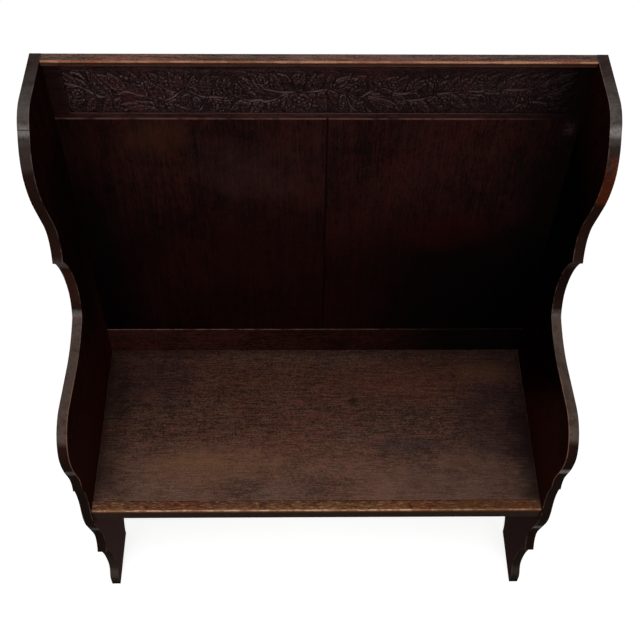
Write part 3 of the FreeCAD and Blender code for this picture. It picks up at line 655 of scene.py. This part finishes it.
def steel_material():
    """Dulled steel with rust spots."""
    t = Finish("steel_screw")
    spots = t.noise(t.place, 700.0, 4.0, 0.6)
    rust = t.step(spots, 0.48, 0.66)
    t.surface.inputs["Metallic"].default_value = 0.9
    t.give(t.surface.inputs["Base Color"], t.mix(rust, rgb(96, 90, 84), rgb(74, 44, 28)))
    t.give(t.surface.inputs["Roughness"], t.span(spots, 0.34, 0.7))
    t.give(t.surface.inputs["Normal"], t.bump(spots, 0.0001))
    return t.material


def dress(node, material):
    for slot in nodes[node].material_slots:
        slot.material = material


# Merging distance in metres, and angles in degrees: faces that count as one, and arrises to round
WELD_REACH, FLAT_ANGLE, ARRIS_ANGLE = 0.00001, 0.4, 35.0


def ease(node, width):
    """Rounds a CAD node's sharp arrises by modifiers."""
    piece = nodes[node]
    weld = piece.modifiers.new("weld", "WELD")
    weld.merge_threshold = WELD_REACH
    flat = piece.modifiers.new("flat", "DECIMATE")
    flat.decimate_type = "DISSOLVE"
    flat.angle_limit = math.radians(FLAT_ANGLE)
    arris = piece.modifiers.new("arris", "BEVEL")
    arris.width, arris.segments = width, 3
    arris.limit_method, arris.angle_limit = "ANGLE", math.radians(ARRIS_ANGLE)
    shade = piece.modifiers.new("shade", "WEIGHTED_NORMAL")
    shade.weight, shade.keep_sharp = 50, False


END = end_material()
PLAIN = plain_material()
PEG = peg_material()
STEEL = steel_material()
CARVED = carved_material()

# Each node's material, and the width of its eased arrises in metres
FINISHES = {
    "end_left": (END, 0.0016),
    "end_right": (END, 0.0016),
    "cap_rail": (cap_material(), 0.0008),
    "frieze_rail": (CARVED, 0.0006),
    "back_panel_left": (panel_material("back_panel_left", "oak_panel_left", 1.9, -0.30), 0.0006),
    "back_panel_right": (panel_material("back_panel_right", "oak_panel_right", 8.3, 0.22), 0.0006),
    "bottom_rail": (rail_material(), 0.0012),
    "seat_board": (seat_material(), 0.0008),
    "seat_front_rail": (nosing_material(), 0.0006),
    "seam_batten": (PLAIN, 0.0010),
    "seat_ledger": (PLAIN, 0.0010),
    "seat_bearer_left": (PLAIN, 0.0010),
    "seat_bearer_right": (PLAIN, 0.0010),
    "seat_batten": (PLAIN, 0.0010),
    "glue_blocks": (PLAIN, 0.0008),
    "pegs_left": (PEG, 0.0003),
    "pegs_right": (PEG, 0.0003),
    "bearer_screws_left": (STEEL, 0),
    "bearer_screws_right": (STEEL, 0),
    "ledger_screws": (STEEL, 0),
}
for node, (material, width) in FINISHES.items():
    dress(node, material)
    if width:
        ease(node, width)


# Carving

# How far back the carving's hollows, crests and tucked edges lie, on Y in metres
HOLLOW, CREST, TUCK = FIELD_GROUND + 0.0001, 0.2240, FIELD_GROUND + 0.0004

# From here to build_carving, lengths are in mm. Places on the field are from the bench's middle and
# from the field's lower edge, and heights are shares of the relief.

# Spacing of the carving's grid along and up the field
GRID_ALONG, GRID_UP = 1.1, 0.9

# The four tables below give places as pixels of the photograph, chosen one by one over it. These are
# the pixels of the bench's middle and of the field's lower edge, and one pixel's width and height
# on the field in mm.
PHOTO_MIDDLE, PHOTO_FOOT = 320.5, 112.5
PIXEL_WIDTH, PIXEL_HEIGHT = 1.852, 2.44

# A stem: its width, and the pixels of its points
STEMS = [
    (4.6, [(66, 83), (73, 84.5), (81, 86.5), (88, 90), (100.4, 96.6)]),
    (4.4, [(77, 73), (84, 74.8), (88, 78.5), (91, 84), (96, 91), (100.4, 96.6), (112, 97.5),
        (120, 96)]),
    (4.4, [(113, 97.3), (120, 94), (128, 91), (138, 95), (145, 96), (152, 99.5), (160, 102)]),
    (4.0, [(157, 83), (166, 88.5), (172, 91.5), (182, 92)]),
    (4.4, [(162, 102.5), (170, 99), (177, 95), (184, 92), (192, 92), (199, 95.5), (208, 97),
        (217, 97), (226, 98), (234, 98)]),
    (4.6, [(226, 98), (234, 95.5), (242, 98), (249, 100.5), (260, 99.2), (266, 101), (277, 99.3),
        (286, 94), (297, 92), (306, 92.6), (318, 90.5), (326, 90)]),
    (4.0, [(242, 80), (249, 87), (256, 89.2), (266, 89), (281, 91.5), (297, 92)]),
    (4.6, [(279, 74.6), (286, 75.5), (291, 80), (297, 91)]),
    (4.4, [(326, 90), (331, 88.7), (336, 90), (343, 93), (351, 93.6), (361, 100.5)]),
    (3.6, [(337, 80), (344, 77.8), (356, 76.6), (366, 76.4)]),
    (4.2, [(361, 98), (370, 92), (378, 91), (385, 88.5), (389, 90), (395, 92.3)]),
    (3.8, [(370, 95.5), (381, 98), (391, 101), (400, 105.5)]),
    (3.8, [(366, 104), (370, 110), (376, 113)]),
    (4.0, [(395, 92.3), (408, 93), (417, 89.6)]),
    (4.2, [(400, 101), (410, 100), (417, 99.5), (428, 98.3), (437, 94), (447, 92.3), (456, 92)]),
    (4.0, [(456, 92), (465.4, 92.2), (472, 90.3), (480, 90.8), (487, 88.6)]),
    (4.0, [(465.4, 92.2), (473, 95), (484, 94)]),
    (4.2, [(487, 88.6), (493, 90.6), (503, 90), (509, 89.2), (525, 89), (540, 87.6)]),
    (4.0, [(537, 91.5), (543, 94.4), (550, 94.2), (560, 91), (566, 88)]),
    (4.0, [(534, 101), (542, 101.3), (551, 102.6)]),
    (3.6, [(540, 86), (550, 79), (560, 75.4), (576, 72.6)]),
    (3.4, [(490, 97), (493, 103), (497, 108), (503, 112)]),
    (3.4, [(534, 101), (538, 108), (543, 112)]),
    (3.4, [(440, 80.5), (447, 75.5)]),
    (3.2, [(208, 97), (205, 104), (199, 110)]),
    (3.2, [(348, 93.6), (351, 103), (355, 108)]),
    (3.2, [(436, 94), (436, 84), (438, 78)]),
]
# A leaf: the pixels of its base and of its tip, its width and how far it bends to the side
LEAVES = [
    (72, 96, 66, 110, 20, 3), (84, 98, 72, 110, 22, -4), (95, 98, 84, 112, 20, 3),
    (110, 99, 101, 112, 20, 4), (120, 98, 116, 111, 18, -3), (84, 86, 67, 73, 22, 4),
    (92, 88, 80, 79, 14, 2), (76, 84, 67, 92, 14, 3), (100, 95, 92, 72, 24, -4),
    (112, 96, 97, 73, 30, 5), (124, 93, 101, 75, 26, -4), (131, 92, 112, 74, 26, 3),
    (141, 96, 124, 76, 24, -4), (147, 97, 136, 74, 28, 4), (158, 101, 146, 78, 24, -4),
    (152, 84, 146, 72, 16, 3), (160, 84, 152, 73, 16, -2), (164, 99, 161, 84, 22, 4),
    (170, 97, 170, 80, 20, -3), (172, 90, 163, 76, 20, 3), (176, 91, 172, 72, 20, -3),
    (184, 91, 181, 74, 24, 4), (190, 91, 188, 73, 20, -4), (195, 93, 197, 76, 22, 3),
    (203, 95, 200, 80, 20, -4), (208, 96, 211, 74, 26, 5), (216, 96, 221, 78, 22, -4),
    (226, 97, 217, 86, 16, 3), (231, 96, 229, 76, 24, 4), (238, 97, 238, 84, 18, -3),
    (161, 104, 119, 104.5, 17, 2), (160, 106, 122, 110.5, 15, -2), (158, 104, 134, 101, 10, 2),
    (168, 101, 190, 110, 26, 4), (178, 97, 197, 106, 22, -4), (166, 103, 172, 112, 18, 3),
    (196, 97, 196, 110, 20, 3), (190, 94, 184, 106, 18, -3), (206, 98, 214, 110, 18, 3),
    (214, 98, 228, 108, 20, -3), (228, 99, 222, 111, 18, 3), (247, 100, 232, 107.5, 22, 3),
    (250, 101, 243, 112, 20, -3), (262, 101, 250, 112, 24, 4), (256, 100, 264, 112, 18, -3),
    (272, 101, 268, 112, 18, 3), (254, 88, 240, 76, 24, 3), (262, 88, 250, 74, 22, -3),
    (268, 88, 262, 73, 24, 4), (276, 90, 272, 73, 22, -4), (248, 92, 258, 99, 12, 2),
    (284, 91, 276, 80, 16, 3), (288, 95, 282, 110, 24, 4), (280, 98, 274, 109, 16, -3),
    (296, 94, 293, 112, 22, -4), (304, 93, 300, 108, 18, 3), (300, 91, 306, 74, 24, 4),
    (308, 91, 316, 74, 24, -4), (318, 90, 325, 74, 22, 3), (293, 82, 302, 74, 14, 2),
    (312, 93, 316, 110, 22, 4), (322, 91, 328, 110, 24, -4), (306, 95, 308, 112, 18, 3),
    (330, 90, 337, 106, 20, 3), (328, 88, 332, 73, 20, -3), (337, 89, 341, 78, 16, 3),
    (340, 90, 366, 79, 26, 4), (334, 88, 352, 74, 20, -3), (351, 92, 372, 84, 18, 2),
    (344, 94, 342, 110, 22, 3), (350, 95, 362, 108, 22, -4), (358, 99, 352, 112, 18, 3),
    (361, 100, 367, 112, 18, -3), (368, 93, 400, 107, 30, -3), (372, 98, 384, 112, 20, 3),
    (366, 90, 362, 76, 18, 3), (374, 91, 370, 76, 22, -3), (382, 90, 399, 77, 24, 4),
    (380, 88, 380, 73, 18, 3), (388, 92, 402, 84, 18, -3), (394, 94, 408, 108, 22, 3),
    (404, 101, 402, 112, 18, -3), (400, 92, 408, 76, 24, 4), (408, 91, 420, 77, 22, -3),
    (414, 90, 430, 80, 20, 3), (410, 94, 422, 96, 12, 2), (414, 101, 418, 112, 20, 3),
    (422, 100, 434, 112, 22, -4), (430, 97, 446, 110, 26, 4), (434, 95, 430, 82, 18, -3),
    (440, 93, 434, 74, 22, 3), (442, 92, 450, 80, 20, 4), (446, 92, 458, 76, 24, -4),
    (440, 95, 460, 104, 20, 3), (450, 94, 472, 108, 26, -4), (458, 92, 468, 78, 22, 3),
    (464, 91, 476, 74, 22, -4), (460, 94, 484, 100, 18, 3), (472, 94, 480, 110, 22, 3),
    (474, 89, 486, 76, 20, 3), (482, 90, 484, 74, 20, -3), (488, 89, 498, 74, 24, 4),
    (484, 93, 500, 106, 26, 4), (494, 91, 508, 102, 22, -3), (498, 89, 512, 76, 22, -4),
    (506, 90, 504, 108, 22, 4), (508, 88, 520, 74, 22, 3), (514, 90, 526, 108, 24, -4),
    (518, 87, 530, 76, 20, 3), (524, 90, 520, 104, 16, 3), (528, 88, 540, 73, 22, 4),
    (532, 90, 530, 102, 16, -3), (536, 86, 548, 74, 18, 3), (534, 98, 516, 110, 20, 3),
    (540, 92, 572, 76, 28, 4), (548, 95, 571, 86, 20, -3), (552, 96, 570, 98, 20, 3),
    (550, 103, 568, 110, 22, -3), (544, 102, 552, 112, 18, 3), (560, 92, 574, 82, 14, 2),
]
# A flower: its middle's pixel, its radius, its number of petals and its turn in radians
FLOWERS = [
    (79, 94.5, 13, 9, 0.2), (161, 103, 15, 6, 0.4), (218, 105.5, 12, 7, 0.0), (120, 85, 9, 6, 0.3),
    (300, 102, 13, 6, 0.5), (394, 85, 11, 6, 0.1), (481, 79.5, 12, 7, 0.2), (525, 98, 12, 8, 0.3),
    (345, 103, 11, 6, 0.6), (447, 100, 12, 7, 0.4), (262, 80, 10, 6, 0.2), (553, 85, 10, 6, 0.3),
    (196, 83, 10, 7, 0.5),
]
# A lily: its middle's pixel, its petals' length and their angles in degrees
LILIES = [
    (311, 104, 15, (20, 70, 120, 160, 200)), (380, 84, 14, (10, 60, 110, 150)),
    (539, 101, 15, (-40, 0, 40, 200, 240)), (430, 83, 13, (30, 80, 130)),
    (145, 84, 13, (60, 110, 150, 20)),
]


def on_field(x, y):
    """The place on the field, to the mm, that the photograph shows at a pixel."""
    return round((x - PHOTO_MIDDLE) * PIXEL_WIDTH), round((PHOTO_FOOT - y) * PIXEL_HEIGHT)


def smooth_line(points, per_leg=10):
    """A Catmull-Rom line through the points."""
    p = [points[0], *points, points[-1]]
    line = []
    for i in range(1, len(p) - 2):
        a, b, c, d = (np.array(q, float) for q in p[i - 1:i + 3])
        for s in np.linspace(0, 1, per_leg, endpoint=False):
            line.append(0.5 * (2 * b + (c - a) * s + (2 * a - 5 * b + 4 * c - d) * s ** 2
                               + (3 * b - a - 3 * c + d) * s ** 3))
    line.append(np.array(points[-1], float))
    return np.array(line)


def dome(r):
    """Round height over a share of the radius."""
    return np.clip(1 - r ** 2.0, 0, 1) ** 0.5


def add_leaf(u, v, h, leaf, rise=1.0):
    """Lays a toothed leaf with a rib, grooves beside it and slanting veins over the heights."""
    u0, v0, u1, v1, width, bend = leaf
    tooth_length, vein_pitch, rib_width, groove_offset, halo_width = 8, 5.2, 0.9, 1.9, 1.6
    reach = width / 2 + abs(bend) + 2
    near = ((u > min(u0, u1) - reach) & (u < max(u0, u1) + reach)
            & (v > min(v0, v1) - reach) & (v < max(v0, v1) + reach))
    length = math.hypot(u1 - u0, v1 - v0)
    du, dv = (u1 - u0) / length, (v1 - v0) / length
    pu, pv = u[near] - u0, v[near] - v0
    s = (pu * du + pv * dv) / length
    inside = (s > 0.001) & (s < 0.999)
    s = np.clip(s, 0.001, 0.999)
    off = -pu * dv + pv * du - bend * np.sin(math.pi * s)
    teeth = (s * max(3, round(length / tooth_length))) % 1
    half = width / 2 * np.sin(math.pi * s ** 0.75) ** 0.8 * (0.84 + 0.22 * teeth) + 0.01
    r = np.abs(off) / half
    body = np.clip((1 - r) * 6, 0, 1) ** 0.6
    body = body * (0.42 + 0.40 * np.sin(math.pi * np.clip(r, 0, 1) ** 0.8))
    rib = np.exp(-(off / rib_width) ** 2)
    groove = np.exp(-((np.abs(off) - groove_offset) / 0.7) ** 2)
    phase = (s * length * 0.45 - np.abs(off)) / vein_pitch
    vein = np.clip(np.cos(phase * 2 * math.pi), 0, 1) ** 2
    form = body - 0.40 * vein * np.clip(r * 4, 0, 1) * body
    form = np.maximum(form, 0.85 * rib * (1 - 0.5 * s)) - 0.30 * groove
    form = np.clip(form, 0.04, 1) * rise
    form[~inside | (r > 1)] = -1
    old = h[near]
    cover = (form > 0) & ((form > old) | (r < 0.92))
    halo = inside & (r > 1) & (r < 1 + halo_width / half)
    old[halo] = np.minimum(old[halo], 0.10)
    old[cover] = form[cover]
    h[near] = old


def add_flower(u, v, h, flower):
    """Cuts a flower with lobed, fluted petals round a boss into the heights."""
    middle_u, middle_v, radius, petals, spin = flower
    du, dv = u - middle_u, v - middle_v
    dist = np.hypot(du, dv)
    turn = np.arctan2(dv, du) + spin
    lobe = np.abs(np.cos(turn * petals / 2))
    rim = radius * (0.66 + 0.34 * lobe ** 0.5)
    r = dist / rim
    flute = np.clip(np.cos(turn * petals * 3), 0, 1) ** 2
    form = np.clip((1 - r) * 5, 0, 1) ** 0.6 * (0.38 + 0.5 * r)
    form -= 0.25 * flute * (r < 1) * (dist > radius * 0.4)
    form *= 0.55 + 0.45 * lobe ** 0.3
    form = np.where(dist < radius * 0.40, dome(dist / (radius * 0.30)), form)
    clear = dist < rim * 1.12
    h[clear] = np.clip(form[clear], 0.03, 1) * 0.85


def add_lily(u, v, h, lily):
    """Lays slim petals at the given angles, and a small boss at their foot."""
    middle_u, middle_v, radius, turns = lily
    for degrees in turns:
        a = math.radians(degrees)
        tip_u, tip_v = middle_u + radius * math.cos(a), middle_v + radius * math.sin(a)
        add_leaf(u, v, h, (middle_u, middle_v, tip_u, tip_v, radius * 0.55, 1.2))
    boss_radius, boss_reach = 3.4, 4.2
    dist = np.hypot(u - middle_u, v - middle_v)
    boss = dome(dist / boss_radius)
    near = dist < boss_reach
    h[near] = boss[near]


def add_stem(u, v, h, width, points):
    """Lays a round stem between two gutters; it sinks into the leaves here and there."""
    line = smooth_line(points)
    far, reach = 1e9, 8
    best = np.full(u.shape, far)
    for (a, b), (c, d) in zip(line[:-1], line[1:]):
        near = (u > min(a, c) - reach) & (u < max(a, c) + reach)
        if not near.any():
            continue
        pu, pv = u[near] - a, v[near] - b
        lu, lv = c - a, d - b
        k = np.clip((pu * lu + pv * lv) / max(lu * lu + lv * lv, 1e-9), 0, 1)
        best[near] = np.minimum(best[near], np.hypot(pu - k * lu, pv - k * lv))
    half, gutter_width = width * 0.4, 1.8
    gutter = (best > half) & (best < half + gutter_width)
    h[gutter] = np.minimum(h[gutter], 0.06)
    on = best <= half
    show = np.clip(0.60 + 0.55 * np.sin(u * 0.085 + v * 0.13 + 1.0), 0.2, 1)
    h[on] = ((0.35 + 0.65 * dome(best / half)) * show + 0.8 * h * (1 - show))[on]


def chisel(u, v, wide, high, seed):
    """Smooth random unevenness between 0 and 1, in cells of that width and height."""
    a, b = (u - u.min()) / wide, (v - v.min()) / high
    i, j = a.astype(int), b.astype(int)
    cells = np.random.default_rng(seed).random((j.max() + 2, i.max() + 2))
    p, q = (s * s * (3 - 2 * s) for s in (a - i, b - j))
    low = cells[j, i] * (1 - p) + cells[j, i + 1] * p
    top = cells[j + 1, i] * (1 - p) + cells[j + 1, i + 1] * p
    return low * (1 - q) + top * q


def small_leaves(left, right, high):
    """Leaves behind the others, which lean to the left and, near the right end, to the right."""
    leaves = []
    for row, v in enumerate(np.arange(6.0, high, 15.0)):
        for i, u in enumerate(np.arange(left + 8 + 10 * (row % 2), right - 6, 21.0)):
            jolt = math.sin(12.9898 * i + 78.233 * row + 3 * math.sin(4.1 * i))
            lean = math.radians(146 - 100 * min(max((u - 40) / 260, 0), 1) + 20 * jolt)
            half = 20 + 5 * math.sin(7.7 * i + 5.3 * row)
            du, dv = half * math.cos(lean), half * math.sin(lean) * 0.8
            leaves.append((u - du, v - dv, u + du, v + dv, 13 + 2 * jolt, 2.5 * jolt))
    return leaves


def carve():
    """The grid's places along and up the field, and the relief's height at each point."""
    left, right = FIELD_LEFT * 1000, FIELD_RIGHT * 1000
    high = (FIELD_HIGH - FIELD_LOW) * 1000
    us = np.linspace(left, right, int(round((right - left) / GRID_ALONG)) + 1)
    vs = np.linspace(0, high, int(round(high / GRID_UP)) + 1)
    u, v = np.meshgrid(us, vs)
    # Wavy gouge marks in the ground, then the leaves, flowers, lilies and stems over it
    gouges = np.sin(v * 1.9 + 1.7 * np.sin(u * 0.11) + 0.8 * np.sin(u * 0.37 + v * 0.05))
    h = 0.06 + 0.07 * gouges * np.sin(u * 0.9 + v * 0.5)
    for leaf in small_leaves(left, right, high):
        add_leaf(u, v, h, leaf, 0.55)
    for base_x, base_y, tip_x, tip_y, width, bend in LEAVES:
        add_leaf(u, v, h, (*on_field(base_x, base_y), *on_field(tip_x, tip_y), width, bend))
    for x, y, radius, petals, spin in FLOWERS:
        add_flower(u, v, h, (*on_field(x, y), radius, petals, spin))
    for x, y, radius, turns in LILIES:
        add_lily(u, v, h, (*on_field(x, y), radius, turns))
    for width, points in STEMS:
        add_stem(u, v, h, width, [on_field(x, y) for x, y in points])
    h = h * (0.72 + 0.56 * chisel(u, v, 5.5, 3.4, seed=4))
    # The relief falls to nothing over that distance from the field's edges
    fall = 1.2
    edge = np.minimum(np.minimum(u - left, right - u), np.minimum(v, high - v))
    return us, vs, h * np.clip(edge / fall, 0, 1)


def blurred(h, reach):
    """The heights' mean over a square of that many steps each way."""
    width = 2 * reach + 1
    for axis in (0, 1):
        pad = [(0, 0), (0, 0)]
        pad[axis] = (reach + 1, reach)
        total = np.cumsum(np.pad(h, pad, mode="edge"), axis=axis)
        if axis == 0:
            h = (total[width:] - total[:-width]) / width
        else:
            h = (total[:, width:] - total[:, :-width]) / width
    return h


def build_carving():
    """The relief as one sheet over the sunk field, with what its finish asks of each point."""
    us, vs, h = carve()
    rows, columns = h.shape
    grid_u, grid_v = np.meshgrid(us / 1000, vs / 1000)
    depth = HOLLOW - h * (HOLLOW - CREST)
    depth[0, :] = depth[-1, :] = TUCK
    depth[:, 0] = depth[:, -1] = TUCK
    places = np.stack([grid_u, depth, grid_v + FIELD_LOW], -1).reshape(-1, 3)
    index = np.arange(rows * columns).reshape(rows, columns)
    faces = np.stack([index[:-1, :-1], index[:-1, 1:], index[1:, 1:], index[1:, :-1]], -1)
    mesh = bpy.data.meshes.new("frieze_carving")
    mesh.from_pydata(places.tolist(), [], faces.reshape(-1, 4).tolist())
    mesh.polygons.foreach_set("use_smooth", [True] * len(mesh.polygons))
    # For the finish: crest for wear and painted highlight, hollow for grime and painted shade, ledge
    # for painted highlight on up-facing slopes, under for painted shade on down-facing slopes
    rise = h - blurred(h, 3)
    crest = rise * (0.6 + 0.4 * np.clip((h - 0.55) / 0.35, 0, 1))
    soft = blurred(h, 1)
    slope = np.zeros_like(h)
    slope[1:-1] = soft[:-2] - soft[2:]
    for name, value in (("crest", crest), ("hollow", -rise), ("ledge", slope), ("under", -slope)):
        layer = mesh.attributes.new(name, "FLOAT", "POINT")
        layer.data.foreach_set("value", np.clip(value, 0, 1).astype(np.float32).ravel())
    mesh.materials.append(CARVED)
    piece = bpy.data.objects.new("frieze_carving", mesh)
    bpy.context.scene.collection.objects.link(piece)
    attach(piece, "root")


build_carving()


# Floor, light and camera

FLOOR_GREY = (0.62, 0.62, 0.62, 1.0)
FLOOR_HALF = 30
SKY_COLOUR, SKY_STRENGTH = (1.0, 0.98, 0.96, 1.0), 0.38
LAMP_PLACE, LAMP_TARGET = (0.0, -1.5, 3.1), (0.0, 0.0, 0.6)
LAMP_SIZE, LAMP_POWER = 2.4, 68

# Angles in degrees, place in metres, lens and film in mm
PITCH, YAW, ROLL = 53.1604, 1.5736, -1.1733
CAMERA_PLACE = (-0.0323, -1.2960, 2.6021)
LENS, FILM_WIDTH = 60.07, 36.0


def floor_material():
    """Matt grey floor that glows only for the rays that show the background."""
    t = Finish("floor")
    t.surface.inputs["Base Color"].default_value = FLOOR_GREY
    t.surface.inputs["Roughness"].default_value = 0.9
    t.surface.inputs["Specular IOR Level"].default_value = 0.0
    t.surface.inputs["Emission Color"].default_value = WHITE
    away = t.node("ShaderNodeVectorMath")
    away.operation = "LENGTH"
    t.give(away.inputs[0], t.place)
    glow = t.span(t.step(away.outputs["Value"], 1.6, 6.0), 0.70, 0.95)
    t.give(t.surface.inputs["Emission Strength"], t.times(t.background_rays(), glow))
    return t.material


def lay_floor():
    mesh = bpy.data.meshes.new("floor")
    corners = [(-1, -1), (1, -1), (1, 1), (-1, 1)]
    mesh.from_pydata([(x * FLOOR_HALF, y * FLOOR_HALF, 0) for x, y in corners], [], [(0, 1, 2, 3)])
    mesh.materials.append(floor_material())
    floor = bpy.data.objects.new("floor", mesh)
    bpy.context.scene.collection.objects.link(floor)


def light_world():
    """Soft light all round, behind a background that is white for the rays that show it."""
    world = bpy.data.worlds.new("world")
    bpy.context.scene.world = world
    world.use_nodes = True
    t = Tree(world.node_tree)
    choose = t.node("ShaderNodeMixShader")
    t.give(choose.inputs[0], t.background_rays())
    for socket, colour, strength in ((1, SKY_COLOUR, SKY_STRENGTH), (2, WHITE, 1.0)):
        light = t.node("ShaderNodeBackground")
        light.inputs[0].default_value = colour
        light.inputs[1].default_value = strength
        t.give(choose.inputs[socket], light.outputs[0])
    t.give(t.node("ShaderNodeOutputWorld").inputs[0], choose.outputs[0])


def hang_lamp():
    data = bpy.data.lights.new("overhead", "AREA")
    data.shape, data.size, data.energy = "SQUARE", LAMP_SIZE, LAMP_POWER
    lamp = bpy.data.objects.new("overhead", data)
    lamp.location = LAMP_PLACE
    lamp.rotation_mode = "QUATERNION"
    lamp.rotation_quaternion = (Vector(LAMP_TARGET) - Vector(LAMP_PLACE)).to_track_quat("-Z", "Y")
    bpy.context.scene.collection.objects.link(lamp)


def place_camera():
    """The camera at the photograph's place: pitch is downwards and yaw to the right."""
    pitch, yaw, roll = (math.radians(angle) for angle in (PITCH, YAW, ROLL))
    ahead = Vector((math.sin(yaw) * math.cos(pitch), math.cos(yaw) * math.cos(pitch),
                    -math.sin(pitch)))
    right = Vector((math.cos(yaw), -math.sin(yaw), 0.0))
    down = ahead.cross(right)
    rolled_right = math.cos(roll) * right + math.sin(roll) * down
    rolled_down = -math.sin(roll) * right + math.cos(roll) * down
    axes = Matrix((rolled_right, -rolled_down, -ahead)).transposed().to_4x4()
    data = bpy.data.cameras.new("camera")
    data.lens, data.sensor_width = LENS, FILM_WIDTH
    camera = bpy.data.objects.new("camera", data)
    camera.matrix_world = Matrix.Translation(CAMERA_PLACE) @ axes
    bpy.context.scene.collection.objects.link(camera)
    bpy.context.scene.camera = camera


lay_floor()
light_world()
hang_lamp()
place_camera()
bpy.context.scene.view_settings.view_transform = "Standard"
